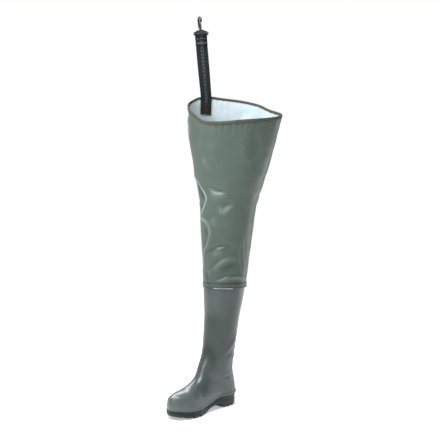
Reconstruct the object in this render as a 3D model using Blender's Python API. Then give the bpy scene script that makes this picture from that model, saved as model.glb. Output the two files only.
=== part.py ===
"""Hip wader for the right foot: moulded boot, welded fabric shaft, belt strap and swivel hook.

Units are metres. +Z is up, the toe points to -Y and the inner (medial) side of the leg is +X.
The origin is the middle of the heel's contact with the floor.
"""
import bpy
import bmesh
from math import atan2, cos, hypot, pi, radians, sin
from mathutils import Vector

# Driving sizes of the foot, size EU 41
SOLE_LENGTH = 0.290
HEEL_BACK_Y = 0.035
BALL_WIDTH = 0.101
UPPER_WALL = 0.0025
MEETING_GAP = 0.0003
HALF_COLUMNS = 26
WIDEST_Z = 0.030

# Heights of the boot and the shaft
HEM_Z = 0.3825
HEM_HEIGHT = 0.0135
FABRIC_WALL = 0.0010
HEM_RELIEF = 0.0008

# The collar is a flattened oval; its long axis is turned this far from the medial side to the back
COLLAR_TURN = radians(42.0)

# Belt strap and hook
STRAP_WIDTH = 0.040
STRAP_THICKNESS = 0.0016
STRAP_TURN_HIGH = radians(56.0)
STRAP_LENGTH_INSIDE = 0.060
STRAP_FOLD_BACK = 0.033
STRAP_WALL_CURVE = 0.0017
STRAIGHT_UNDER_BAR = 0.006
BAR_CLEARANCE = 0.0004
LOOP_STEPS = 8
BAR_RADIUS = 0.0025
BAR_CENTRE = Vector((-0.0645, -0.0450, 1.2098))
HOOK_LEAN = radians(7.0)
HOOK_TURN = radians(-21.0)

# Outline of the outsole: fraction of the length from the heel, and half widths as parts of the ball width
OUTLINE = (
    {"station": 0.000, "medial": 0.000, "lateral": 0.000},
    {"station": 0.008, "medial": 0.105, "lateral": 0.105},
    {"station": 0.030, "medial": 0.200, "lateral": 0.205},
    {"station": 0.075, "medial": 0.295, "lateral": 0.300},
    {"station": 0.130, "medial": 0.345, "lateral": 0.345},
    {"station": 0.210, "medial": 0.360, "lateral": 0.362},
    {"station": 0.320, "medial": 0.312, "lateral": 0.372},
    {"station": 0.430, "medial": 0.280, "lateral": 0.390},
    {"station": 0.530, "medial": 0.322, "lateral": 0.430},
    {"station": 0.630, "medial": 0.418, "lateral": 0.490},
    {"station": 0.710, "medial": 0.478, "lateral": 0.518},
    {"station": 0.790, "medial": 0.478, "lateral": 0.502},
    {"station": 0.865, "medial": 0.428, "lateral": 0.440},
    {"station": 0.925, "medial": 0.345, "lateral": 0.345},
    {"station": 0.970, "medial": 0.235, "lateral": 0.225},
    {"station": 0.992, "medial": 0.130, "lateral": 0.110},
    {"station": 1.000, "medial": 0.015, "lateral": -0.015},
)

# Side view of the sole: height of its top edge and of its tread
SOLE_SIDE = (
    {"y": -0.256, "top": 0.0275, "tread": 0.0120},
    {"y": -0.240, "top": 0.0247, "tread": 0.0085},
    {"y": -0.225, "top": 0.0222, "tread": 0.0057},
    {"y": -0.210, "top": 0.0203, "tread": 0.0033},
    {"y": -0.190, "top": 0.0185, "tread": 0.0010},
    {"y": -0.174, "top": 0.0177, "tread": 0.0000},
    {"y": -0.150, "top": 0.0172, "tread": 0.0000},
    {"y": -0.126, "top": 0.0172, "tread": 0.0000},
    {"y": -0.110, "top": 0.0185, "tread": 0.0060},
    {"y": -0.095, "top": 0.0215, "tread": 0.0100},
    {"y": -0.070, "top": 0.0295, "tread": 0.0125},
    {"y": -0.0550, "top": 0.0330, "tread": 0.0135},
    {"y": -0.0520, "top": 0.0334, "tread": 0.0000},
    {"y": -0.020, "top": 0.0352, "tread": 0.0000},
    {"y": 0.036, "top": 0.0375, "tread": 0.0000},
)
HEEL_BREAST = (-0.0520, -0.0550)

# Levels of the sole's side, as parts of its height, with how far each stands out from the outline
SOLE_LEVELS = (
    {"level": 0.00, "outset": -0.0025},
    {"level": 0.16, "outset": -0.0004},
    {"level": 0.60, "outset": 0.0000},
    {"level": 0.66, "outset": -0.0011},
    {"level": 0.76, "outset": -0.0011},
    {"level": 0.82, "outset": 0.0006},
    {"level": 1.00, "outset": 0.0006},
)

# Lugs: the grooves across the tread, each with its place, width and depth
GROOVE_PITCH = 0.0275
FOREFOOT_GROOVES = 4
FOREFOOT_GROOVE_FIRST_Y = -0.2290
HEEL_GROOVES = (-0.0320, -0.0120)
GROOVE_WIDTH = 0.0090
GROOVE_DEPTH = 0.0068

# Foot part of the boot: ridge height over the floor, sideways place of the ridge, squareness of the section,
# and half widths that the wall swells to over the sole's narrow waist
FOOT = (
    {"y": -0.2560, "ridge": 0.0410, "ridge_x": 0.000, "square": 2.6, "medial": 0.0000, "lateral": 0.0000},
    {"y": -0.2535, "ridge": 0.0510, "ridge_x": 0.000, "square": 2.6, "medial": 0.0000, "lateral": 0.0000},
    {"y": -0.2460, "ridge": 0.0605, "ridge_x": 0.000, "square": 2.6, "medial": 0.0000, "lateral": 0.0000},
    {"y": -0.2330, "ridge": 0.0678, "ridge_x": 0.001, "square": 2.5, "medial": 0.0000, "lateral": 0.0000},
    {"y": -0.2150, "ridge": 0.0732, "ridge_x": 0.002, "square": 2.4, "medial": 0.0000, "lateral": 0.0000},
    {"y": -0.1900, "ridge": 0.0785, "ridge_x": 0.003, "square": 2.2, "medial": 0.0300, "lateral": 0.0300},
    {"y": -0.1650, "ridge": 0.0868, "ridge_x": 0.004, "square": 2.1, "medial": 0.0400, "lateral": 0.0430},
    {"y": -0.1400, "ridge": 0.1020, "ridge_x": 0.005, "square": 2.0, "medial": 0.0410, "lateral": 0.0450},
    {"y": -0.1180, "ridge": 0.1230, "ridge_x": 0.004, "square": 2.0, "medial": 0.0395, "lateral": 0.0430},
    {"y": -0.0950, "ridge": 0.1420, "ridge_x": 0.003, "square": 2.0, "medial": 0.0380, "lateral": 0.0410},
    {"y": -0.0500, "ridge": 0.1450, "ridge_x": 0.000, "square": 2.0, "medial": 0.0360, "lateral": 0.0380},
    {"y": -0.0200, "ridge": 0.1320, "ridge_x": 0.000, "square": 2.0, "medial": 0.0350, "lateral": 0.0360},
    {"y": 0.0050, "ridge": 0.1120, "ridge_x": 0.000, "square": 2.0, "medial": 0.0310, "lateral": 0.0315},
    {"y": 0.0300, "ridge": 0.0920, "ridge_x": 0.000, "square": 2.0, "medial": 0.0000, "lateral": 0.0000},
    {"y": 0.0360, "ridge": 0.0900, "ridge_x": 0.000, "square": 2.0, "medial": 0.0000, "lateral": 0.0000},
)

# Leg part of the boot: level sections with centre and half sizes across and along the foot
LEG = (
    {"z": 0.010, "x": 0.0000, "y": -0.0070, "across": 0.0330, "along": 0.0390},
    {"z": 0.035, "x": 0.0000, "y": -0.0080, "across": 0.0345, "along": 0.0410},
    {"z": 0.060, "x": 0.0000, "y": -0.0130, "across": 0.0365, "along": 0.0440},
    {"z": 0.090, "x": 0.0005, "y": -0.0265, "across": 0.0395, "along": 0.0520},
    {"z": 0.125, "x": 0.0010, "y": -0.0445, "across": 0.0430, "along": 0.0650},
    {"z": 0.165, "x": 0.0025, "y": -0.0371, "across": 0.0465, "along": 0.0605},
    {"z": 0.210, "x": 0.0045, "y": -0.0310, "across": 0.0500, "along": 0.0610},
    {"z": 0.260, "x": 0.0065, "y": -0.0269, "across": 0.0525, "along": 0.0612},
    {"z": 0.287, "x": 0.0078, "y": -0.0236, "across": 0.0545, "along": 0.0602},
    {"z": 0.310, "x": 0.0085, "y": -0.0219, "across": 0.0580, "along": 0.0615},
    {"z": 0.345, "x": 0.0098, "y": -0.0180, "across": 0.0640, "along": 0.0660},
    {"z": 0.365, "x": 0.0105, "y": -0.0163, "across": 0.0662, "along": 0.0672},
    {"z": 0.410, "x": 0.0120, "y": -0.0147, "across": 0.0690, "along": 0.0690},
)
FOOT_LEG_BLEND = 0.026
FOOT_SCALE = 0.045
LEG_SCALE = 0.050
WAIST_RISE = 0.026
SEARCH_REACH = 0.26
SEARCH_STEPS = 34

# Rings of the boot's wall: height at the toe side and at the heel side, with its raised steps
BOOT_RINGS = (
    {"front": 0.0000, "back": 0.0000, "over_sole": 0.0003, "step": "rand ledge"},
    {"front": 0.0000, "back": 0.0000, "over_sole": 0.0085, "step": "rand ledge"},
    {"front": 0.0000, "back": 0.0000, "over_sole": 0.0093, "step": "cap"},
    {"front": 0.0450, "back": 0.0535, "over_sole": 0.0, "step": "cap"},
    {"front": 0.0555, "back": 0.0555, "over_sole": 0.0, "step": "cap"},
    {"front": 0.0635, "back": 0.0605, "over_sole": 0.0, "step": "cap"},
    {"front": 0.0695, "back": 0.0625, "over_sole": 0.0, "step": "cap"},
    {"front": 0.0745, "back": 0.0740, "over_sole": 0.0, "step": "cap"},
    {"front": 0.0790, "back": 0.0850, "over_sole": 0.0, "step": "cap"},
    {"front": 0.0795, "back": 0.0860, "over_sole": 0.0, "step": ""},
    {"front": 0.0850, "back": 0.0960, "over_sole": 0.0, "step": ""},
    {"front": 0.0930, "back": 0.1070, "over_sole": 0.0, "step": ""},
    {"front": 0.1030, "back": 0.1180, "over_sole": 0.0, "step": ""},
    {"front": 0.1150, "back": 0.1300, "over_sole": 0.0, "step": ""},
    {"front": 0.1290, "back": 0.1430, "over_sole": 0.0, "step": ""},
    {"front": 0.1450, "back": 0.1570, "over_sole": 0.0, "step": ""},
    {"front": 0.1650, "back": 0.1740, "over_sole": 0.0, "step": ""},
    {"front": 0.1930, "back": 0.1980, "over_sole": 0.0, "step": ""},
    {"front": 0.2300, "back": 0.2320, "over_sole": 0.0, "step": ""},
    {"front": 0.2680, "back": 0.2680, "over_sole": 0.0, "step": ""},
    {"front": 0.3000, "back": 0.3000, "over_sole": 0.0, "step": ""},
    {"front": 0.3450, "back": 0.3450, "over_sole": 0.0, "step": ""},
    {"front": 0.4050, "back": 0.4050, "over_sole": 0.0, "step": ""},
)
RAND_RELIEF = 0.0010
CAP_RELIEF = 0.0018
CAP_LENGTH = 0.062
LEDGE_RELIEF = 0.0044
LEDGE_HALF_WIDTH = 0.024
FEATHER_INSET = 0.0022

# Shaft: level sections, centre and half sizes along and across the collar's long axis
SHAFT = (
    {"z": 0.3700, "x": 0.0119, "y": -0.0147, "long": 0.0707, "short": 0.0707},
    {"z": 0.4060, "x": 0.0120, "y": -0.0147, "long": 0.0707, "short": 0.0707},
    {"z": 0.4180, "x": 0.0126, "y": -0.0145, "long": 0.0718, "short": 0.0718},
    {"z": 0.4620, "x": 0.0150, "y": -0.0142, "long": 0.0747, "short": 0.0747},
    {"z": 0.5205, "x": 0.0185, "y": -0.0140, "long": 0.0805, "short": 0.0810},
    {"z": 0.6370, "x": 0.0255, "y": -0.0137, "long": 0.0905, "short": 0.0890},
    {"z": 0.7150, "x": 0.0330, "y": -0.0130, "long": 0.1080, "short": 0.0915},
    {"z": 0.7930, "x": 0.0400, "y": -0.0120, "long": 0.1270, "short": 0.0930},
    {"z": 0.8900, "x": 0.0470, "y": -0.0108, "long": 0.1470, "short": 0.0940},
    {"z": 0.9500, "x": 0.0520, "y": -0.0104, "long": 0.1520, "short": 0.0945},
    {"z": 1.0200, "x": 0.0530, "y": -0.0100, "long": 0.1535, "short": 0.0950},
)

# Rim of the collar: its height round the oval, from the long axis' inner end towards the outer back
RIM = (
    {"angle": 0.0, "z": 0.9360},
    {"angle": 38.0, "z": 0.9610},
    {"angle": 60.0, "z": 0.9850},
    {"angle": 85.0, "z": 1.0005},
    {"angle": 105.0, "z": 1.0065},
    {"angle": 122.0, "z": 1.0100},
    {"angle": 138.0, "z": 1.0045},
    {"angle": 152.0, "z": 0.9920},
    {"angle": 168.0, "z": 0.9770},
    {"angle": 182.0, "z": 0.9620},
    {"angle": 209.0, "z": 0.9320},
    {"angle": 229.0, "z": 0.9050},
    {"angle": 250.0, "z": 0.8990},
    {"angle": 275.0, "z": 0.9035},
    {"angle": 310.0, "z": 0.9130},
    {"angle": 360.0, "z": 0.9360},
)
SHAFT_COLUMNS = 48
SHAFT_LEVELS = (0.0, 0.0245, 0.0260, 0.046, 0.066, 0.10, 0.16, 0.24, 0.33, 0.43, 0.54, 0.65, 0.76, 0.88, 1.0)
SEAM_FORWARD = radians(9.0)
LEVEL_ZONE = 0.3
LEVEL_HEIGHT = 0.56
SEAM_HALF_WIDTH = 0.0085
SEAM_RELIEF = 0.0007
SEAM_MIDDLE = 2
STRAP_COLUMN = 1

# Binding folded over the rim
BINDING_THICKNESS = 0.0008
BINDING_OUTSIDE = 0.0095
BINDING_INSIDE = 0.0070

INSOLE_THICKNESS = 0.0040
INSOLE_CLEARANCE = 0.0012

COLOURS = {
    "boot": ((0.115, 0.139, 0.129, 1.0), 0.38),
    "fabric": ((0.151, 0.193, 0.166, 1.0), 0.50),
    "sole": ((0.028, 0.038, 0.044, 1.0), 0.55),
    "insole": ((0.300, 0.310, 0.300, 1.0), 0.90),
    "binding": ((0.140, 0.155, 0.130, 1.0), 0.80),
    "webbing": ((0.040, 0.052, 0.056, 1.0), 0.85),
    "plastic": ((0.015, 0.018, 0.020, 1.0), 0.45),
}


def along(table, key, name, place):
    """Read a column of a table at a place between its rows, as a smooth curve through the rows."""
    places = [row[key] for row in table]
    values = [row[name] for row in table]
    if place <= places[0]:
        return values[0]
    if place >= places[-1]:
        return values[-1]
    i = max(k for k in range(len(places) - 1) if places[k] <= place)
    slopes = []
    for k in (i, i + 1):
        if 0 < k < len(places) - 1:
            before = (values[k] - values[k - 1]) / (places[k] - places[k - 1])
            after = (values[k + 1] - values[k]) / (places[k + 1] - places[k])
            slopes.append(0.0 if before * after <= 0 else 2 * before * after / (before + after))
        else:
            slopes.append((values[i + 1] - values[i]) / (places[i + 1] - places[i]))
    span = places[i + 1] - places[i]
    t = (place - places[i]) / span
    rise = values[i + 1] - values[i]
    curve = slopes[0] * span * t * (1 - t) ** 2 - slopes[1] * span * t * t * (1 - t)
    return values[i] + rise * t * t * (3 - 2 * t) + curve


def make_material(name):
    """Make the plain finish of a piece."""
    colour, roughness = COLOURS[name]
    material = bpy.data.materials.new(name)
    material.use_nodes = True
    shader = material.node_tree.nodes["Principled BSDF"]
    shader.inputs["Base Color"].default_value = colour
    shader.inputs["Roughness"].default_value = roughness
    shader.inputs["Metallic"].default_value = 0.0
    return material


def add_piece(name, points, faces, finish, smooth=True):
    """Add a closed mesh as a named piece with its normals pointing out."""
    mesh = bpy.data.meshes.new(name)
    mesh.from_pydata([tuple(p) for p in points], [], faces)
    work = bmesh.new()
    work.from_mesh(mesh)
    bmesh.ops.recalc_face_normals(work, faces=work.faces)
    work.to_mesh(mesh)
    work.free()
    if smooth:
        mesh.shade_smooth()
        mesh.set_sharp_from_angle(angle=radians(35))
    piece = bpy.data.objects.new(name, mesh)
    bpy.context.scene.collection.objects.link(piece)
    if finish:
        mesh.materials.append(bpy.data.materials.get(finish) or make_material(finish))
    return piece


def join_solid(piece, other, operation):
    """Fuse another solid to a piece or cut it away, and apply the result."""
    modifier = piece.modifiers.new(operation.lower(), "BOOLEAN")
    modifier.operation = operation
    modifier.solver = "EXACT"
    modifier.object = other
    other.hide_render = True
    other.display_type = "WIRE"
    evaluated = piece.evaluated_get(bpy.context.evaluated_depsgraph_get())
    mesh = bpy.data.meshes.new_from_object(evaluated)
    piece.modifiers.clear()
    old = piece.data
    piece.data = mesh
    bpy.data.meshes.remove(old)
    bpy.data.objects.remove(other)


def outline_stations():
    """Fractions of the sole's length from heel to toe, closer together at both ends, and at the heel's breast."""
    even = HALF_COLUMNS - len(HEEL_BREAST)
    stations = [0.5 - 0.5 * cos(pi * k / even) for k in range(even + 1)]
    stations += [(HEEL_BACK_Y - y) / SOLE_LENGTH for y in HEEL_BREAST]
    return sorted(stations)


def half_width(station, side):
    """Half width of the sole's outline on one side, rounded at both ends."""
    return along(OUTLINE, "station", side, station) * BALL_WIDTH


def outline_loop(outset):
    """Outline of the sole from the heel along the medial side to the toe and back along the lateral side."""
    middle_y = HEEL_BACK_Y - SOLE_LENGTH / 2
    stretch = 1 + 2 * outset / SOLE_LENGTH
    medial, lateral = [], []
    for s in outline_stations():
        y = middle_y + (0.5 - s) * SOLE_LENGTH * stretch
        medial.append(Vector((half_width(s, "medial") + outset * tip_share(s), y, 0.0)))
        lateral.append(Vector((-half_width(s, "lateral") - outset * tip_share(s), y, 0.0)))
    toe = (medial[-1] + lateral[-1]) / 2
    return medial[:-1] + [toe] + lateral[-2:0:-1]


def tip_share(station):
    """Part of a sideways offset that applies at a station: none at the tips of heel and toe."""
    return min(1.0, min(station, 1 - station) / 0.03)


def ring_faces(rings, columns):
    """Quads between rings of points that are stored one after another."""
    faces = []
    for r in range(rings - 1):
        for c in range(columns):
            d = (c + 1) % columns
            faces.append((r * columns + c, r * columns + d, (r + 1) * columns + d, (r + 1) * columns + c))
    return faces


def strip_cap(start, half):
    """Close a loop whose two sides have matching points, from heel to toe."""
    columns = 2 * half
    faces = [(start, start + 1, start + columns - 1)]
    for k in range(1, half - 1):
        faces.append((start + k, start + k + 1, start + columns - k - 1, start + columns - k))
    faces.append((start + half - 1, start + half, start + half + 1))
    return faces


def sole_top(y):
    """Height of the sole's top edge."""
    return along(SOLE_SIDE, "y", "top", y)


def sole_top_facet(y):
    """Height of the sole's top face, which is straight between the outline's stations."""
    rows = sorted((p.y, sole_top(p.y)) for p in outline_loop(SOLE_LEVELS[-1]["outset"])[:HALF_COLUMNS + 1])
    for (y0, z0), (y1, z1) in zip(rows, rows[1:]):
        if y0 <= y <= y1:
            return z0 + (z1 - z0) * (y - y0) / (y1 - y0)
    return sole_top(y)


def sole_tread(y):
    """Height of the sole's underside."""
    return along(SOLE_SIDE, "y", "tread", y)


def build_outsole():
    """Outsole with heel block, arch, toe spring, the steps of its side and the main lugs."""
    half = HALF_COLUMNS
    points = []
    for row in SOLE_LEVELS:
        for p in outline_loop(row["outset"]):
            low = sole_tread(p.y)
            points.append((p.x, p.y, low + (sole_top(p.y) - low) * row["level"]))
    columns = 2 * half
    faces = ring_faces(len(SOLE_LEVELS), columns)
    faces += strip_cap(0, half)
    faces += strip_cap((len(SOLE_LEVELS) - 1) * columns, half)
    sole = add_piece("outsole", points, faces, "sole")
    join_solid(sole, tread_cutter(), "DIFFERENCE")
    sole.data.shade_smooth()
    sole.data.set_sharp_from_angle(angle=radians(35))
    return sole


def box_corners(low, high):
    """Corners and faces of a box between two points."""
    corners = [(x, y, z) for z in (low[2], high[2]) for y in (low[1], high[1]) for x in (low[0], high[0])]
    faces = [(0, 2, 3, 1), (4, 5, 7, 6), (0, 1, 5, 4), (2, 6, 7, 3), (0, 4, 6, 2), (1, 3, 7, 5)]
    return corners, faces


def tread_cutter():
    """Grooves between the lugs, across the forefoot and the heel."""
    reach = BALL_WIDTH
    boxes = []
    for k in range(FOREFOOT_GROOVES):
        y = FOREFOOT_GROOVE_FIRST_Y + k * GROOVE_PITCH
        top = sole_tread(y) + GROOVE_DEPTH
        boxes.append(((-reach, y - GROOVE_WIDTH / 2, -0.01), (reach, y + GROOVE_WIDTH / 2, top)))
    for y in HEEL_GROOVES:
        boxes.append(((-reach, y - GROOVE_WIDTH / 2, -0.01), (reach, y + GROOVE_WIDTH / 2, GROOVE_DEPTH)))
    cutter = None
    for low, high in boxes:
        corners, faces = box_corners(low, high)
        box = add_piece("groove", corners, faces, None, smooth=False)
        if cutter is None:
            cutter = box
        else:
            join_solid(cutter, box, "UNION")
    return cutter


def leg_row(z):
    """Centre and half sizes of the boot's leg at one height."""
    return [along(LEG, "z", name, z) for name in ("x", "y", "across", "along")]


def foot_depth(x, y, z):
    """How far a point lies outside the foot part of the boot, roughly in metres."""
    station = (HEEL_BACK_Y - y) / SOLE_LENGTH
    if station <= 0.0 or station >= 1.0:
        return LEG_SCALE
    ridge_x = along(FOOT, "y", "ridge_x", y)
    side = "medial" if x > ridge_x else "lateral"
    edge = half_width(station, side) - FEATHER_INSET
    swell = min(max((z - sole_top(y)) / WAIST_RISE, 0.0), 1.0)
    edge += max(along(FOOT, "y", side, y) - edge, 0.0) * swell * swell * (3 - 2 * swell)
    reach = max(edge - ridge_x if side == "medial" else edge + ridge_x, 0.0015)
    rise = along(FOOT, "y", "ridge", y) - WIDEST_Z
    square = along(FOOT, "y", "square", y)
    lift = max(z - WIDEST_Z, 0.0)
    value = ((abs(x - ridge_x) / reach) ** square + (lift / max(rise, 0.002)) ** square) ** (1 / square)
    return (value - 1) * FOOT_SCALE


def leg_depth(x, y, z):
    """How far a point lies outside the leg part of the boot, roughly in metres."""
    centre_x, centre_y, across, length = leg_row(z)
    return (hypot((x - centre_x) / across, (y - centre_y) / length) - 1) * LEG_SCALE


def boot_depth(x, y, z):
    """How far a point lies outside the whole boot, with a soft hollow where foot and leg meet."""
    foot = foot_depth(x, y, z)
    leg = leg_depth(x, y, z)
    share = max(FOOT_LEG_BLEND - abs(foot - leg), 0.0) / FOOT_LEG_BLEND
    return min(foot, leg) - share * share * FOOT_LEG_BLEND / 4


def section_centre(z):
    """Point inside the boot from which the whole level section can be seen."""
    centre_x, centre_y = leg_row(z)[:2]
    share = min(max((z - 0.10) / 0.07, 0.0), 1.0)
    return centre_x * share, (1 - share) * -0.062 + share * centre_y


def boot_point(angle, z):
    """Point of the boot's outer surface at a height and in a direction from the section's centre."""
    start_x, start_y = section_centre(z)
    near, far = 0.0, SEARCH_REACH
    for _ in range(SEARCH_STEPS):
        middle = (near + far) / 2
        if boot_depth(start_x + middle * cos(angle), start_y + middle * sin(angle), z) < 0:
            near = middle
        else:
            far = middle
    return Vector((start_x + near * cos(angle), start_y + near * sin(angle), z))


def boot_grid():
    """Points of the boot's outer surface, ring by ring from the sole to its top."""
    feather = outline_loop(-FEATHER_INSET)
    columns = len(feather)
    centre_x, centre_y = section_centre(0.0)
    low_angles = [atan2(p.y - centre_y, p.x - centre_x) for p in feather]
    low_angles = unwrap(low_angles)
    turn = -2 * pi if low_angles[-1] < low_angles[0] else 2 * pi
    even_angles = [low_angles[0] + turn * c / columns for c in range(columns)]
    grid = []
    for row in BOOT_RINGS:
        ring = []
        for c in range(columns):
            toe_share = (0.5 - 0.5 * cos(2 * pi * c / columns)) ** 1.5
            z = row["back"] + (row["front"] - row["back"]) * toe_share
            if row["over_sole"] > 0:
                z = sole_top_facet(feather[c].y) + row["over_sole"]
            even = min(max((z - 0.08) / 0.12, 0.0), 1.0) * 0.85
            angle = low_angles[c] * (1 - even) + even_angles[c] * even
            point = boot_point(angle, z)
            if row["over_sole"] > 0:
                point.z = sole_top_facet(point.y) + row["over_sole"]
            ring.append(point)
        grid.append(ring)
    return grid


def unwrap(angles):
    """Remove the jumps of a full turn from a list of angles."""
    result = [angles[0]]
    for angle in angles[1:]:
        while angle - result[-1] > pi:
            angle -= 2 * pi
        while angle - result[-1] < -pi:
            angle += 2 * pi
        result.append(angle)
    return result


def grid_normals(grid):
    """Outward direction of the surface at each point of a grid of closed rings."""
    columns = len(grid[0])
    normals = []
    for r, ring in enumerate(grid):
        below = grid[max(r - 1, 0)]
        above = grid[min(r + 1, len(grid) - 1)]
        row = []
        for c in range(columns):
            around = ring[(c + 1) % columns] - ring[c - 1]
            up = above[c] - below[c]
            normal = around.cross(up).normalized()
            middle = sum((p for p in ring), Vector()) / columns
            if normal.dot(ring[c] - middle) < 0:
                normal = -normal
            row.append(normal)
        normals.append(row)
    return normals


def boot_relief(row, point):
    """How far the boot's wall is raised at a point: rand, toe cap or the ledge at the heel."""
    relief = 0.0
    if "rand" in row["step"]:
        relief = RAND_RELIEF
    if "cap" in row["step"]:
        toe_y = HEEL_BACK_Y - SOLE_LENGTH
        if point.y < toe_y + CAP_LENGTH:
            relief = CAP_RELIEF
    if "ledge" in row["step"] and point.y > 0.0 and abs(point.x) < LEDGE_HALF_WIDTH:
        relief = LEDGE_RELIEF
    return relief


def shell_between(name, outer, inner, finish):
    """Closed wall between an outer and an inner grid of rings, open at both ends of the tube."""
    rings = len(outer)
    columns = len(outer[0])
    points = [p for ring in outer for p in ring] + [p for ring in reversed(inner) for p in ring]
    faces = ring_faces(2 * rings, columns)
    last = (2 * rings - 1) * columns
    for c in range(columns):
        d = (c + 1) % columns
        faces.append((last + c, last + d, d, c))
    return add_piece(name, points, faces, finish)


def build_boot_upper():
    """Moulded boot: one hollow wall, open at the top and underneath, with rand, toe cap and heel ledge."""
    grid = boot_grid()
    normals = grid_normals(grid)
    outer, inner = [], []
    for row, ring, ways in zip(BOOT_RINGS, grid, normals):
        outside, inside = [], []
        for point, way in zip(ring, ways):
            if row["over_sole"] > 0:
                way = Vector((way.x, way.y, 0.0)).normalized()
            outside.append(point + way * boot_relief(row, point))
            inside.append(point - way * UPPER_WALL)
        outer.append(outside)
        inner.append(inside)
    for edge in (0, len(grid) - 1):
        for c in range(len(grid[0])):
            outer[edge][c].z = grid[edge][c].z
            inner[edge][c].z = grid[edge][c].z
    return shell_between("boot_upper", outer, inner, "boot")


def build_insole():
    """Loose insole on the sole's top, inside the boot's wall."""
    half = HALF_COLUMNS
    loop = outline_loop(-(FEATHER_INSET + UPPER_WALL + INSOLE_CLEARANCE))
    points = []
    for lift in (MEETING_GAP, MEETING_GAP + INSOLE_THICKNESS):
        points += [(p.x, p.y, sole_top_facet(p.y) + lift) for p in loop]
    faces = ring_faces(2, 2 * half) + strip_cap(0, half) + strip_cap(2 * half, half)
    return add_piece("insole", points, faces, "insole")


def shaft_row(z):
    """Centre and half sizes of the shaft at one height."""
    return [along(SHAFT, "z", name, z) for name in ("x", "y", "long", "short")]


def shaft_point(angle, z, inset):
    """Point of the shaft's wall; the angle runs round the oval from the long axis' inner end."""
    centre_x, centre_y, long_half, short_half = shaft_row(z)
    u = (long_half - inset) * cos(angle)
    v = (short_half - inset) * sin(angle)
    x = centre_x + u * cos(COLLAR_TURN) - v * sin(COLLAR_TURN)
    y = centre_y + u * sin(COLLAR_TURN) + v * cos(COLLAR_TURN)
    return Vector((x, y, z))


def rim_height(angle):
    """Height of the collar's rim round the oval."""
    degrees = (angle * 180 / pi) % 360
    return along(RIM, "angle", "z", degrees)


def seam_angle(z):
    """Angle of the outer side seam, which runs down the lateral side of the leg, a little to the front."""
    long_half, short_half = shaft_row(z)[2:]
    lateral = pi + SEAM_FORWARD - COLLAR_TURN
    return atan2(sin(lateral) * long_half, cos(lateral) * short_half)


def shaft_angles(z):
    """Angles of the shaft's columns, with a pair of close columns at each edge of the seam."""
    long_half, short_half = shaft_row(z)[2:]
    middle = seam_angle(z)
    radius = hypot(long_half * sin(middle), short_half * cos(middle))
    edge = SEAM_HALF_WIDTH / radius
    slip = 0.0012 / radius
    seam = [(-edge - slip, 0.0), (-edge, SEAM_RELIEF), (0.0, SEAM_RELIEF), (edge, SEAM_RELIEF), (edge + slip, 0.0)]
    rest = 2 * pi - 2 * (edge + slip)
    plain = [(edge + slip + rest * k / SHAFT_COLUMNS, 0.0) for k in range(1, SHAFT_COLUMNS)]
    return [(middle + offset, relief) for offset, relief in seam + plain]


def shaft_column(k, level):
    """Angle, height and seam relief of one column of the shaft at one level between hem and rim."""
    z = HEM_Z
    for _ in range(3):
        angle, relief = shaft_angles(z)[k]
        z = HEM_Z + (rim_height(angle) - HEM_Z) * level
        if level < LEVEL_ZONE:
            share = level / LEVEL_ZONE
            z = (HEM_Z + level * LEVEL_HEIGHT) * (1 - share) + z * share
    return angle, z, relief


def build_shaft():
    """Coated fabric shaft: a thin tube with a welded hem, a side seam and a slanting collar."""
    outer, inner = [], []
    for level in SHAFT_LEVELS:
        outside, inside = [], []
        for k in range(len(shaft_angles(HEM_Z))):
            angle, z, relief = shaft_column(k, level)
            hem = HEM_RELIEF if z < HEM_Z + HEM_HEIGHT + 0.0002 else 0.0
            outside.append(shaft_point(angle, z, -max(hem, relief)))
            inside.append(shaft_point(angle, z, FABRIC_WALL))
        outer.append(outside)
        inner.append(inside)
    return shell_between("shaft", outer, inner, "fabric")


def near_rim(k, inset, drop):
    """Point beside the shaft's wall below the rim at one of its columns."""
    top_angle, top_z, relief = shaft_column(k, SHAFT_LEVELS[-1])
    low_angle, low_z, _ = shaft_column(k, SHAFT_LEVELS[-2])
    offset = inset - relief if inset < 0 else inset
    top = shaft_point(top_angle, top_z, offset)
    low = shaft_point(low_angle, low_z, offset)
    return top.lerp(low, drop / (top_z - low_z))


def build_binding():
    """Binding tape folded over the collar's rim, clear of the fabric on both sides."""
    out = MEETING_GAP + BINDING_THICKNESS
    section = (
        (-MEETING_GAP, BINDING_OUTSIDE),
        (-out, BINDING_OUTSIDE),
        (-out, -out),
        (FABRIC_WALL + out, -out),
        (FABRIC_WALL + out, BINDING_INSIDE),
        (FABRIC_WALL + MEETING_GAP, BINDING_INSIDE),
        (FABRIC_WALL + MEETING_GAP, -MEETING_GAP),
        (-MEETING_GAP, -MEETING_GAP),
    )
    columns = len(shaft_angles(HEM_Z))
    points = [near_rim(k, inset, drop) for inset, drop in section for k in range(columns)]
    faces = ring_faces(len(section), columns)
    last = (len(section) - 1) * columns
    for c in range(columns):
        d = (c + 1) % columns
        faces.append((last + c, last + d, d, c))
    return add_piece("collar_binding", points, faces, "binding")


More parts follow.
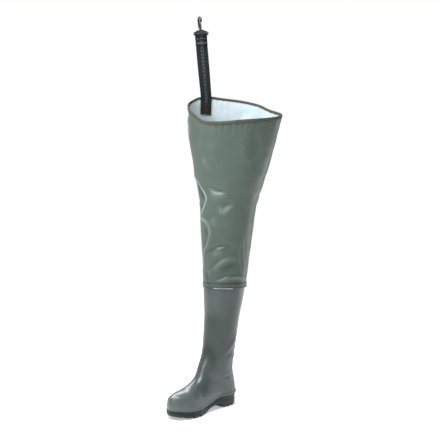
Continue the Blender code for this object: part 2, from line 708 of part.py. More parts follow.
def build_strap():
    """Belt strap: sewn inside the collar, up to the hook's bar, round it and back down."""
    on_wall = FABRIC_WALL + MEETING_GAP + STRAP_WALL_CURVE + STRAP_THICKNESS / 2
    on_binding = on_wall + BINDING_THICKNESS + MEETING_GAP
    low_end = near_rim(STRAP_COLUMN, on_wall, STRAP_LENGTH_INSIDE)
    under_rim = near_rim(STRAP_COLUMN, on_binding, BINDING_INSIDE * 2)
    at_rim = near_rim(STRAP_COLUMN, on_binding, 0.0)
    rho = BAR_RADIUS + BAR_CLEARANCE + STRAP_THICKNESS / 2
    face, up = hook_frame()[1:]
    back = BAR_CENTRE - face * rho
    below_bar = back - up * STRAIGHT_UNDER_BAR
    down_strap = (at_rim - below_bar).normalized()
    stations = [(low_end, 0.0), (low_end.lerp(under_rim, 0.5), 0.0), (under_rim, 0.0), (at_rim, 0.0)]
    stations += [(at_rim.lerp(below_bar, share), share) for share in (0.06, 0.3, 0.6, 0.85, 0.94, 1.0)]
    for k in range(LOOP_STEPS + 1):
        angle = pi - pi * k / LOOP_STEPS
        stations.append((BAR_CENTRE + face * rho * cos(angle) + up * rho * sin(angle), 1.0))
    layers = STRAP_THICKNESS + BAR_CLEARANCE
    for drop, gap in ((STRAIGHT_UNDER_BAR, rho * 1.6), (0.013, layers * 1.35), (0.022, layers), (STRAP_FOLD_BACK, layers)):
        on_back = below_bar + down_strap * (drop - STRAIGHT_UNDER_BAR)
        stations.append((on_back + face * gap, 1.0))
    return ribbon("strap", stations)


def strap_side(share):
    """Direction of the strap's width: along the collar's wall below, along the hook's bar above."""
    along_wall = near_rim(-1, 0.0, 0.0) - near_rim(SEAM_MIDDLE, 0.0, 0.0)
    low = atan2(along_wall.y, along_wall.x)
    turn = low + (STRAP_TURN_HIGH - low) * min(share / 0.5, 1.0)
    lean = HOOK_LEAN * share
    return Vector((cos(turn) * cos(lean), sin(turn) * cos(lean), sin(lean)))


def ribbon(name, stations):
    """Flat band through stations, with its width level and its thickness across the path."""
    points = []
    for k, (middle, share) in enumerate(stations):
        before = stations[max(k - 1, 0)][0]
        after = stations[min(k + 1, len(stations) - 1)][0]
        side = strap_side(share)
        way = (after - before).normalized()
        thick = side.cross(way).normalized() * STRAP_THICKNESS / 2
        wide = side * STRAP_WIDTH / 2
        points += [middle - wide - thick, middle + wide - thick, middle + wide + thick, middle - wide + thick]
    faces = ring_faces(len(stations), 4)
    last = (len(stations) - 1) * 4
    faces += [(0, 1, 2, 3), (last, last + 1, last + 2, last + 3)]
    return add_piece(name, points, faces, "webbing", smooth=False)


def hook_frame():
    """Axes of the hook: along its bar, out to its face, and up its swivel, which leans to the front."""
    level = Vector((cos(STRAP_TURN_HIGH), sin(STRAP_TURN_HIGH), 0.0))
    face = Vector((level.y, -level.x, 0.0))
    wide = level * cos(HOOK_LEAN) + Vector((0.0, 0.0, sin(HOOK_LEAN)))
    return wide, face, face.cross(wide)


def tube(name, path, radii, sides, finish):
    """Round bar along a path, with a radius for each point of the path."""
    points = []
    faces = []
    across = None
    for k, middle in enumerate(path):
        before = path[max(k - 1, 0)]
        after = path[min(k + 1, len(path) - 1)]
        way = (after - before).normalized()
        if across is None:
            across = way.orthogonal().normalized()
        across = (across - way * across.dot(way)).normalized()
        other = way.cross(across)
        for s in range(sides):
            angle = 2 * pi * s / sides
            points.append(middle + (across * cos(angle) + other * sin(angle)) * radii[k])
    faces += ring_faces(len(path), sides)
    faces.append(tuple(range(sides)))
    faces.append(tuple(range((len(path) - 1) * sides, len(path) * sides)))
    return add_piece(name, points, faces, finish)


def prism(name, outline, low, high, finish):
    """Plate between two offsets of an outline; low and high are vectors added to each corner."""
    count = len(outline)
    points = [p + low for p in outline] + [p + high for p in outline]
    faces = ring_faces(2, count) + [tuple(range(count)), tuple(range(count, 2 * count))]
    return add_piece(name, points, faces, finish, smooth=False)


def smooth_path(points, steps):
    """Curve through a few points of a path, with steps between each pair."""
    result = []
    for k in range(len(points) - 1):
        p0 = points[max(k - 1, 0)]
        p1 = points[k]
        p2 = points[k + 1]
        p3 = points[min(k + 2, len(points) - 1)]
        for s in range(steps):
            t = s / steps
            a = p1 * 2 + (p2 - p0) * t
            b = (p0 * 2 - p1 * 5 + p2 * 4 - p3) * t * t
            c = (p1 * 3 - p0 - p2 * 3 + p3) * t * t * t
            result.append((a + b + c) / 2)
    result.append(points[-1])
    return result


# Hook base, in millimetres from the bar's centre: half width and height of its frame
BASE_FRAME = ((-25.0, -2.6), (-25.5, 6.0), (-9.0, 13.6), (9.0, 13.6), (25.5, 6.0), (25.0, -2.6))
BASE_WINDOW = ((-21.2, -9.0), (-21.2, 5.2), (21.2, 5.2), (21.2, -9.0))
BASE_THICKNESS = 5.0
BOSS_RADIUS = 6.4
BOSS_LOW = 5.4
BOSS_HIGH = 14.0
NECK_RADIUS = 2.3
HEAD_RADIUS = 3.5
HEAD_LOW = 5.9
HEAD_HIGH = 9.0
SWIVEL_CLEARANCE = 0.35
TAB_START = (3.0, 12.2)
TAB_END = (17.7, -4.5)
TAB_HALF_WIDTHS = (10.0, 15.0)
TAB_THICKNESS = 3.6

# Hook, in millimetres: forward of the swivel's axis, and up from the bar
HOOK_PATH = ((0.0, 15.5), (-4.6, 19.0), (-6.4, 24.0), (-6.5, 34.0), (-6.4, 46.0), (-3.4, 52.6), (1.6, 54.6),
             (7.2, 51.6), (10.6, 46.4), (11.0, 41.4), (7.2, 38.2))
HOOK_BAR_RADIUS = 2.5
FINGER_PATH = ((0.0, 15.5), (3.4, 18.0), (5.2, 22.0))
GATE_PATH = ((5.2, 21.0), (5.9, 27.0), (5.4, 34.6))
GATE_RADIUS = 1.1
MM = 0.001


def build_hook_base():
    """Base of the hook: a frame with a round bar for the strap, a swivel seat and a thumb tab."""
    wide, face, up = hook_frame()

    def place(across, out, high):
        return BAR_CENTRE + wide * across * MM + face * out * MM + up * high * MM

    half = BASE_THICKNESS / 2
    frame = [place(a, 0.0, h) for a, h in BASE_FRAME]
    base = prism("hook_base", frame, face * -half * MM, face * half * MM, "plastic")
    window = [place(a, 0.0, h) for a, h in BASE_WINDOW]
    join_solid(base, prism("window", window, face * -0.02, face * 0.02, None), "DIFFERENCE")
    bar_ends = [place(-23.0, 0.0, 0.0), place(23.0, 0.0, 0.0)]
    join_solid(base, tube("bar", bar_ends, [BAR_RADIUS] * 2, 16, None), "UNION")
    boss = tube("boss", [place(0, 0, BOSS_LOW), place(0, 0, BOSS_HIGH)], [BOSS_RADIUS * MM] * 2, 20, None)
    join_solid(base, boss, "UNION")
    start_out, start_high = TAB_START
    end_out, end_high = TAB_END
    length = hypot(end_out - start_out, end_high - start_high)
    way = Vector(((end_out - start_out) / length, (end_high - start_high) / length))
    cross = (face * way.y * -1 + up * way.x) * TAB_THICKNESS / 2 * MM
    narrow, broad = TAB_HALF_WIDTHS
    corner = 3.0
    tab = [
        place(-narrow, start_out, start_high),
        place(-broad, end_out - way.x * corner, end_high - way.y * corner),
        place(-broad + corner, end_out, end_high),
        place(broad - corner, end_out, end_high),
        place(broad, end_out - way.x * corner, end_high - way.y * corner),
        place(narrow, start_out, start_high),
    ]
    join_solid(base, prism("tab", tab, -cross, cross, None), "UNION")
    room = SWIVEL_CLEARANCE
    neck = tube("neck_hole", [place(0, 0, 0), place(0, 0, 20)], [(NECK_RADIUS + room) * MM] * 2, 20, None)
    join_solid(base, neck, "DIFFERENCE")
    seat_radius = (HEAD_RADIUS + room) * MM
    seat = tube("head_room", [place(0, 0, 3.0), place(0, 0, HEAD_HIGH + room)], [seat_radius] * 2, 20, None)
    join_solid(base, seat, "DIFFERENCE")
    base.data.shade_smooth()
    base.data.set_sharp_from_angle(angle=radians(35))
    return base


def build_hook():
    """Hook that swivels in its base: back bar, bend, inturned tip, and a springy gate on a finger."""
    up = hook_frame()[2]
    opening = Vector((cos(HOOK_TURN), sin(HOOK_TURN), 0.0))
    opening = (opening - up * opening.dot(up)).normalized()

    def place(forward, high):
        return BAR_CENTRE + opening * forward * MM + up * high * MM

    path = smooth_path([place(f, h) for f, h in HOOK_PATH], 2)
    radii = [HOOK_BAR_RADIUS * MM] * (len(path) - 1) + [HOOK_BAR_RADIUS * 0.7 * MM]
    hook = tube("hook", path, radii, 10, "plastic")
    finger = smooth_path([place(f, h) for f, h in FINGER_PATH], 2)
    finger_radii = [(2.4 - 0.5 * k / (len(finger) - 1)) * MM for k in range(len(finger))]
    join_solid(hook, tube("finger", finger, finger_radii, 10, None), "UNION")
    gate = smooth_path([place(f, h) for f, h in GATE_PATH], 2)
    join_solid(hook, tube("gate", gate, [GATE_RADIUS * MM] * len(gate), 8, None), "UNION")
    collar = tube("collar", [place(0, BOSS_HIGH + 0.35), place(0, 17.2)], [4.2 * MM] * 2, 18, None)
    join_solid(hook, collar, "UNION")
    neck = tube("neck", [place(0, HEAD_LOW + 1.0), place(0, 16.0)], [NECK_RADIUS * MM] * 2, 18, None)
    join_solid(hook, neck, "UNION")
    head = tube("head", [place(0, HEAD_LOW), place(0, HEAD_HIGH)], [HEAD_RADIUS * MM] * 2, 18, None)
    join_solid(hook, head, "UNION")
    hook.data.shade_smooth()
    hook.data.set_sharp_from_angle(angle=radians(35))
    return hook


def main():
    """Clear the scene and build every piece of the wader."""
    for thing in list(bpy.data.objects):
        bpy.data.objects.remove(thing)
    build_outsole()
    build_boot_upper()
    build_insole()
    build_shaft()
    build_binding()
    build_strap()
    build_hook_base()
    build_hook()


main()
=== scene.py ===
"""Looks of a hip wader for the right foot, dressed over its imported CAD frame.

Units are metres. +Z is up, the toe points to -Y and the inner side of the leg is +X.
"""
from __future__ import annotations

import logging
from dataclasses import dataclass, field
from enum import Enum
from math import atan2, cos, degrees, hypot, pi, radians, sin, tau

import bmesh
import bpy
import numpy as np
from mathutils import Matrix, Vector, noise

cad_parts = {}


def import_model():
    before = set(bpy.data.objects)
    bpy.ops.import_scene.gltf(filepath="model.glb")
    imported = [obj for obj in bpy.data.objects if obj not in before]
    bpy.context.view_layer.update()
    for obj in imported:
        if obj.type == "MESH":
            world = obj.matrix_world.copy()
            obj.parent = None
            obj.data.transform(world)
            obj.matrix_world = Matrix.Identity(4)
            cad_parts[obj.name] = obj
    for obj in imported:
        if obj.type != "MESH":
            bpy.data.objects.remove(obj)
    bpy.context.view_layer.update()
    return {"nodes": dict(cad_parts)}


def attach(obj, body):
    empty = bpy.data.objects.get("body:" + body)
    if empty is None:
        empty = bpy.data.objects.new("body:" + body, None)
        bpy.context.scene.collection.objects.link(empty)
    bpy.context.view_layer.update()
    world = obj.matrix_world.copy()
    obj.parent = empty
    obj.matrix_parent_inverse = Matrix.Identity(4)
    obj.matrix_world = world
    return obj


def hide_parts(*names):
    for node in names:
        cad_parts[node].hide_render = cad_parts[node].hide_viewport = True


LOG = logging.getLogger("wader")
BODY = "wader"
MEAN_RADIUS = 0.085
FULL_TONE = 0.0045
GLINT_WIDTH = 0.0019
SWAY_SCALE = 26.0
UNEVEN_SCALE = 38.0

Row = dict[str, float]
Colour = tuple[float, float, float]


# Shader maths


class Socket:
    """A value in a material: wraps a node's output socket, or holds a plain number or colour."""

    def __init__(self, recipe: "Recipe", value: object) -> None:
        """Keep the value and the material that it belongs to."""
        self.recipe = recipe
        self.value = value

    def _math(self, operation: str, *others: object) -> "Socket":
        """Add one Math node on this value.

        Args:
            operation: name of the Math node's operation.
            others: the other operands, as sockets or numbers.

        Returns:
            The node's result.
        """
        values = dict(enumerate((self, *others)))
        return self.recipe.node("ShaderNodeMath", {"operation": operation}, values)

    def __add__(self, other: object) -> "Socket":
        """Return the sum."""
        return self._math("ADD", other)

    __radd__ = __add__

    def __sub__(self, other: object) -> "Socket":
        """Return the difference."""
        return self._math("SUBTRACT", other)

    def __rsub__(self, other: object) -> "Socket":
        """Return the reflected difference."""
        return Socket(self.recipe, other)._math("SUBTRACT", self)

    def __mul__(self, other: object) -> "Socket":
        """Return the product."""
        return self._math("MULTIPLY", other)

    __rmul__ = __mul__

    def __truediv__(self, other: object) -> "Socket":
        """Return the quotient."""
        return self._math("DIVIDE", other)

    def wave(self) -> "Socket":
        """Return the sine of this value."""
        return self._math("SINE")

    def size(self) -> "Socket":
        """Return the absolute value."""
        return self._math("ABSOLUTE")

    def above(self, low: float, high: float) -> "Socket":
        """Return a smooth step from 0 at low to 1 at high."""
        settings = {"interpolation_type": "SMOOTHSTEP", "clamp": True}
        values = {"Value": self, "From Min": low, "From Max": high}
        return self.recipe.node("ShaderNodeMapRange", settings, values)


class Recipe:
    """A material under construction, with one method that makes its nodes."""

    def __init__(self, name: str) -> None:
        """Start an empty material with an output node."""
        self.material = bpy.data.materials.new(name)
        self.material.use_nodes = True
        self.tree = self.material.node_tree
        self.tree.nodes.clear()
        self.output = self.tree.nodes.new("ShaderNodeOutputMaterial")

    def node(self, kind: str, settings: dict[str, object], values: dict[object, object],
             result: object = 0) -> Socket:
        """Make a node.

        Args:
            kind: the node's type.
            settings: the node's own settings, which are set first.
            values: numbers, colours or sockets for its inputs, by name or place.
            result: name or place of the output that is returned.

        Returns:
            The chosen output.
        """
        made = self.tree.nodes.new(kind)
        for name, value in settings.items():
            setattr(made, name, value)
        for place, value in values.items():
            slot = made.inputs[place]
            if isinstance(value, Socket):
                value = value.value
            if isinstance(value, bpy.types.NodeSocket):
                self.tree.links.new(value, slot)
            elif isinstance(value, tuple) and len(value) == 3 and slot.type == "RGBA":
                slot.default_value = (*value, 1.0)
            else:
                slot.default_value = value
        return Socket(self, made.outputs[result])

    def object_place(self) -> Socket:
        """Return the place on the piece in its own metres."""
        return self.node("ShaderNodeTexCoord", {}, {}, "Object")

    def pattern_place(self) -> Socket:
        """Return the piece's own pattern coordinates."""
        return self.node("ShaderNodeUVMap", {"uv_map": "pattern"}, {}, "UV")

    def parts(self, vector: Socket) -> tuple[Socket, Socket, Socket]:
        """Split a vector in its three numbers."""
        split = self.node("ShaderNodeSeparateXYZ", {}, {0: vector}, 0).value.node
        return tuple(Socket(self, split.outputs[k]) for k in range(3))

    def noise(self, place: Socket, scale: float, detail: float = 2.0, rough: float = 0.5) -> Socket:
        """Return soft noise between about 0 and 1."""
        values = {"Vector": place, "Scale": scale, "Detail": detail, "Roughness": rough}
        return self.node("ShaderNodeTexNoise", {}, values, "Fac")

    def attribute(self, name: str) -> Socket:
        """Return a number that is stored on the piece's points."""
        return self.node("ShaderNodeAttribute", {"attribute_name": name}, {}, "Fac")

    def blend(self, share: object, low: object, high: object) -> Socket:
        """Return a colour between two colours."""
        settings = {"data_type": "RGBA", "blend_type": "MIX"}
        return self.node("ShaderNodeMix", settings, {0: share, 6: low, 7: high}, 2)

    def stretched(self, place: Socket, scale: tuple[float, float, float]) -> Socket:
        """Return coordinates multiplied by a number for each axis."""
        return self.node("ShaderNodeVectorMath", {"operation": "MULTIPLY"}, {0: place, 1: scale})

    def bump(self, height: Socket, distance: float, strength: float = 1.0,
             before: Socket | None = None) -> Socket:
        """Return a normal that a height has bent.

        Args:
            height: height between about 0 and 1.
            distance: metres that a height of 1 stands for.
            strength: share of the effect.
            before: a normal that is already bent.

        Returns:
            The new normal.
        """
        values: dict[object, object] = {"Height": height, "Distance": distance, "Strength": strength}
        if before is not None:
            values["Normal"] = before
        return self.node("ShaderNodeBump", {}, values)

    def finish(self, **values: object) -> bpy.types.Material:
        """Close the material with its surface shader.

        Args:
            values: inputs of the surface shader, with _ for a space.

        Returns:
            The material.
        """
        named = {name.replace("_", " "): value for name, value in values.items()}
        surface = self.node("ShaderNodeBsdfPrincipled", {}, named)
        self.tree.links.new(surface.value, self.output.inputs["Surface"])
        return self.material


# Finishes


@dataclass(frozen=True)
class CoatedFabric:
    """Olive green coated nylon: fine weave under a satin skin, with painted highlight and shade on its creases.
    """

    base: Colour = (0.080, 0.110, 0.090)
    pale: Colour = (0.175, 0.228, 0.205)
    bright: Colour = (0.500, 0.585, 0.590)
    deep: Colour = (0.046, 0.066, 0.055)
    tape: Colour = (0.150, 0.194, 0.174)
    # gap: colour of the painted shade lines at the hem.
    gap: Colour = (0.012, 0.016, 0.014)
    thread: float = 1100.0
    painted_shade_below: tuple[float, float] = (0.40, 0.68)
    roughness: float = 0.42

    def make(self) -> bpy.types.Material:
        """Build the material."""
        r = Recipe("coated_fabric")
        place = r.object_place()
        across, up, _ = r.parts(r.pattern_place())
        weave = (across * (tau * self.thread)).wave() * (up * (tau * self.thread)).wave()
        cloudy = r.noise(place, 9.0, 3.0)
        slub = r.noise(r.stretched(place, (60.0, 60.0, 14.0)), 4.0, 2.0)
        painted_fold_shading = r.attribute("painted_fold_shading")
        _, _, height = r.parts(place)
        tone = r.blend(cloudy.above(0.25, 0.75) * 0.25, self.base, self.deep)
        # Painted shade: the cloth darker towards the bottom of the leg, above the boot.
        tone = r.blend((1.0 - height.above(*self.painted_shade_below)) * 0.80, tone, self.deep)
        # Painted highlight on the ridges of creases and gathers, painted shade in their troughs.
        tone = r.blend(painted_fold_shading.above(0.05, 1.0) * 0.5, tone, self.pale)
        tone = r.blend((painted_fold_shading * -1.0).above(0.05, 1.0) * 0.6, tone, self.deep)
        tone = r.blend(r.attribute("tape") * 0.8, tone, self.tape)
        # Painted glint: a pale highlight along the sharpest folds.
        tone = r.blend(r.attribute("glint").above(0.1, 1.0) * 0.85, tone, self.bright)
        # Painted shade in the hem's groove and along its edges.
        tone = r.blend(r.attribute("line") * 0.9, tone, self.gap)
        rough = self.roughness + (cloudy - 0.5) * 0.14 + (slub - 0.5) * 0.06
        crinkle = r.noise(r.stretched(place, (1.0, 1.0, 1.6)), 26.0, 4.0, 0.55)
        normal = r.bump(crinkle, 0.0030, 0.5)
        normal = r.bump(slub, 0.0002, 0.5, normal)
        normal = r.bump(weave * 0.5 + 0.5, 0.00006, 0.6, normal)
        return r.finish(Base_Color=tone, Roughness=rough, Normal=normal, Sheen_Weight=0.08, Sheen_Roughness=0.4)


@dataclass(frozen=True)
class MouldedRubber:
    """Olive green moulded boot: satin, a little dusty over the sole, with a painted highlight on the toe."""

    base: Colour = (0.046, 0.059, 0.053)
    pale: Colour = (0.105, 0.128, 0.121)
    dust: Colour = (0.190, 0.200, 0.186)
    deep: Colour = (0.022, 0.030, 0.026)
    # ankle and leg: where the band of painted shade rises and fades.
    ankle: tuple[float, float] = (0.13, 0.19)
    leg: tuple[float, float] = (0.24, 0.34)
    # toe: reach of the painted highlight on the toe.
    toe: tuple[float, float] = (0.150, 0.225)
    dusty_below: tuple[float, float] = (0.02, 0.075)
    roughness: float = 0.30

    def make(self) -> bpy.types.Material:
        """Build the material."""
        r = Recipe("moulded_rubber")
        place = r.object_place()
        _, forward, height = r.parts(place)
        cloudy = r.noise(place, 14.0, 3.0)
        speck = r.noise(place, 900.0, 1.0)
        scuffs = r.noise(r.stretched(place, (240.0, 90.0, 30.0)), 2.2, 4.0, 0.65)
        painted_fold_shading = r.attribute("painted_fold_shading")
        tone = r.blend(cloudy.above(0.3, 0.75) * 0.4, self.base, self.pale)
        # Painted shade: the boot's leg darker from the ankle up to below the hem.
        painted_shade_band = height.above(*self.ankle) * (1.0 - height.above(*self.leg))
        tone = r.blend(painted_shade_band * 0.45, tone, self.deep)
        # Painted highlight: the toe paler where light from above falls on it.
        tone = r.blend((forward * -1.0).above(*self.toe) * 0.75, tone, self.pale)
        # Painted highlight on the ridges of the boot's creases.
        tone = r.blend(painted_fold_shading.above(0.1, 0.9) * 0.45, tone, self.pale)
        low = 1.0 - height.above(*self.dusty_below)
        tone = r.blend(low * scuffs.above(0.52, 0.75) * 0.35, tone, self.dust)
        rough = self.roughness + (cloudy - 0.5) * 0.12 + low * 0.06 + scuffs.above(0.6, 0.8) * 0.07
        normal = r.bump(r.noise(place, 420.0, 2.0), 0.00016, 0.5)
        normal = r.bump(r.noise(place, 55.0, 2.0), 0.0008, 0.35, normal)
        normal = r.bump(speck, 0.00005, 0.4, normal)
        return r.finish(Base_Color=tone, Roughness=rough, Normal=normal)


@dataclass(frozen=True)
class SoleRubber:
    """Blue-black sole rubber with rubbed patches, pale dust and a fine ribbed tread underneath."""

    base: Colour = (0.013, 0.020, 0.026)
    worn: Colour = (0.050, 0.062, 0.068)
    roughness: float = 0.50
    rib_pitch: float = 0.0036

    def make(self) -> bpy.types.Material:
        """Build the material."""
        r = Recipe("sole_rubber")
        place = r.object_place()
        x, y, _ = r.parts(place)
        cloudy = r.noise(place, 30.0, 4.0)
        grit = r.noise(place, 700.0, 2.0)
        under = r.attribute("under")
        tone = r.blend(cloudy.above(0.45, 0.8) * 0.35, self.base, self.worn)
        tone = r.blend(grit.above(0.62, 0.8) * 0.3, tone, self.worn)
        ribs = ((x.size() * 0.6 + y) * (tau / self.rib_pitch)).wave() * 0.5 + 0.5
        normal = r.bump(grit, 0.00015, 0.6)
        normal = r.bump(ribs * under, 0.0009, 0.8, normal)
        return r.finish(Base_Color=tone, Roughness=self.roughness + (cloudy - 0.5) * 0.16, Normal=normal,
                        Specular_IOR_Level=0.36)


@dataclass(frozen=True)
class KnitLining:
    """Pale lining cloth with a fine knit and soft shadows of its creases."""

    name: str = "knit_lining"
    base: Colour = (0.640, 0.705, 0.725)
    deep: Colour = (0.420, 0.500, 0.545)
    stitch: float = 700.0

    def make(self) -> bpy.types.Material:
        """Build the material."""
        r = Recipe(self.name)
        place = r.object_place()
        across, up, _ = r.parts(r.pattern_place())
        knit = ((across * (tau * self.stitch)).wave() + (up * (tau * self.stitch * 0.7)).wave()) * 0.25 + 0.5
        cloudy = r.noise(place, 16.0, 3.0)
        tone = r.blend(cloudy.above(0.35, 0.75) * 0.45, self.base, self.deep)
        tone = r.blend(knit.above(0.2, 0.8) * 0.12, tone, self.deep)
        normal = r.bump(cloudy, 0.0028, 0.6)
        normal = r.bump(knit, 0.00012, 0.7, normal)
        return r.finish(Base_Color=tone, Roughness=0.85, Normal=normal)


@dataclass(frozen=True)
class WovenTape:
    """Ribbed woven band: the collar's tape or the belt webbing.

    Pattern coordinates are in metres, along the band and across it.
    """

    name: str
    base: Colour
    pale: Colour
    rib: float
    slant: float
    relief: float
    chevron: float = 0.0
    chevron_half: float = 0.0045
    chevron_pitch: float = 0.011
    zigzag_pitch: float = 0.008
    stripe: Colour = (0.22, 0.24, 0.25)
    patch: Colour = (0.012, 0.010, 0.008)

    def make(self) -> bpy.types.Material:
        """Build the material."""
        r = Recipe(self.name)
        place = r.object_place()
        run, wide, _ = r.parts(r.pattern_place())
        zigzag = (wide * (tau / self.zigzag_pitch)).wave().size() if self.slant else wide * 0.0
        ribs = ((run + zigzag * self.slant) * (tau / self.rib)).wave() * 0.5 + 0.5
        yarn = (wide * (tau / (self.rib * 0.9))).wave() * 0.5 + 0.5
        fuzz = r.noise(place, 420.0, 3.0)
        cloudy = r.noise(place, 24.0, 2.0)
        tone = r.blend((ribs * 0.5 + yarn * 0.3 + fuzz * 0.3).above(0.35, 0.95), self.base, self.pale)
        tone = r.blend(cloudy.above(0.4, 0.8) * 0.25, tone, self.base)
        if self.chevron:
            middle = 1.0 - wide.size().above(self.chevron_half, self.chevron_half + 0.0015)
            stripe = ((run + wide.size() * 1.4) * (tau / self.chevron_pitch)).wave().above(0.15, 0.7)
            tone = r.blend(middle * stripe * fuzz.above(0.3, 0.6) * self.chevron, tone, self.stripe)
        tone = r.blend(r.attribute("patch") * 0.85, tone, self.patch)
        normal = r.bump(ribs * 0.7 + yarn * 0.3, self.relief, 0.9)
        normal = r.bump(fuzz, self.relief * 0.6, 0.5, normal)
        return r.finish(Base_Color=tone, Roughness=0.78 + (fuzz - 0.5) * 0.1, Normal=normal,
                        Specular_IOR_Level=0.30)


@dataclass(frozen=True)
class HardPlastic:
    """Black moulded plastic with a faint grain and rubbed places."""

    base: Colour = (0.008, 0.009, 0.010)
    rubbed: Colour = (0.030, 0.032, 0.035)

    def make(self) -> bpy.types.Material:
        """Build the material."""
        r = Recipe("hard_plastic")
        place = r.object_place()
        grain = r.noise(place, 1500.0, 2.0)
        cloudy = r.noise(place, 120.0, 3.0)
        tone = r.blend(cloudy.above(0.5, 0.85) * 0.6, self.base, self.rubbed)
        normal = r.bump(grain, 0.00004, 0.6)
        return r.finish(Base_Color=tone, Roughness=0.38 + (cloudy - 0.5) * 0.15, Normal=normal)


@dataclass(frozen=True)
class Felt:
    """Grey needled felt of the insole."""

    base: Colour = (0.300, 0.310, 0.300)
    fleck: Colour = (0.160, 0.168, 0.165)

    def make(self) -> bpy.types.Material:
        """Build the material."""
        r = Recipe("insole_felt")
        place = r.object_place()
        fibre = r.noise(r.stretched(place, (1.0, 0.35, 1.0)), 900.0, 4.0, 0.7)
        tone = r.blend(fibre.above(0.4, 0.7), self.base, self.fleck)
        return r.finish(Base_Color=tone, Roughness=0.95, Normal=r.bump(fibre, 0.0005, 0.8), Sheen_Weight=0.2)


@dataclass(frozen=True)
class Thread:
    """Twisted sewing thread."""

    name: str
    base: Colour

    def make(self) -> bpy.types.Material:
        """Build the material."""
        r = Recipe(self.name)
        place = r.object_place()
        fuzz = r.noise(place, 1800.0, 2.0)
        dark = tuple(0.6 * part for part in self.base)
        tone = r.blend(fuzz.above(0.35, 0.7), dark, self.base)
        return r.finish(Base_Color=tone, Roughness=0.7, Normal=r.bump(fuzz, 0.0001, 0.6))


class Finish(Enum):
    """The finishes of the wader, by the pieces that carry them."""

    FABRIC = CoatedFabric()
    BOOT = MouldedRubber()
    SOLE = SoleRubber()
    LINING = KnitLining()
    BOOT_LINING = KnitLining("boot_lining", (0.20, 0.23, 0.21), (0.13, 0.15, 0.14), 420.0)
    BINDING = WovenTape("binding_tape", (0.058, 0.057, 0.043), (0.118, 0.110, 0.082), 0.0011, 0.0, 0.00022)
    WEBBING = WovenTape("belt_webbing", (0.003, 0.005, 0.006), (0.014, 0.019, 0.021), 0.0020, 0.0026,
                        0.00038, 0.6)
    PLASTIC = HardPlastic()
    FELT = Felt()
    TAPE_THREAD = Thread("tape_thread", (0.115, 0.105, 0.075))
    STRAP_THREAD = Thread("strap_thread", (0.46, 0.47, 0.45))
    BLOCK_THREAD = Thread("block_thread", (0.110, 0.066, 0.042))

    def material(self) -> bpy.types.Material:
        """Return the finish's material, made when it is first needed."""
        made = _MADE.get(self.name)
        if made is None:
            made = _MADE[self.name] = self.value.make()
        return made


_MADE: dict[str, bpy.types.Material] = {}


# Shapes shared with the frame


def along(table: tuple[Row, ...], key: str, name: str, place: float) -> float:
    """Read a column of a table at a place between its rows, as a smooth curve.

    Args:
        table: rows in rising order of key.
        key: column of the places.
        name: column that is read.
        place: where it is read.

    Returns:
        The value there.
    """
    places = [row[key] for row in table]
    values = [row[name] for row in table]
    if place <= places[0]:
        return values[0]
    if place >= places[-1]:
        return values[-1]
    i = max(k for k in range(len(places) - 1) if places[k] <= place)
    slopes = []
    for k in (i, i + 1):
        if 0 < k < len(places) - 1:
            before = (values[k] - values[k - 1]) / (places[k] - places[k - 1])
            after = (values[k + 1] - values[k]) / (places[k + 1] - places[k])
            slopes.append(0.0 if before * after <= 0 else 2 * before * after / (before + after))
        else:
            slopes.append((values[i + 1] - values[i]) / (places[i + 1] - places[i]))
    span = places[i + 1] - places[i]
    t = (place - places[i]) / span
    rise = values[i + 1] - values[i]
    curve = slopes[0] * span * t * (1 - t) ** 2 - slopes[1] * span * t * t * (1 - t)
    return values[i] + rise * t * t * (3 - 2 * t) + curve


def smooth(low: float, high: float, value: np.ndarray | float) -> np.ndarray | float:
    """Return a smooth step from 0 at low to 1 at high."""
    t = np.clip((value - low) / (high - low), 0.0, 1.0)
    return t * t * (3 - 2 * t)


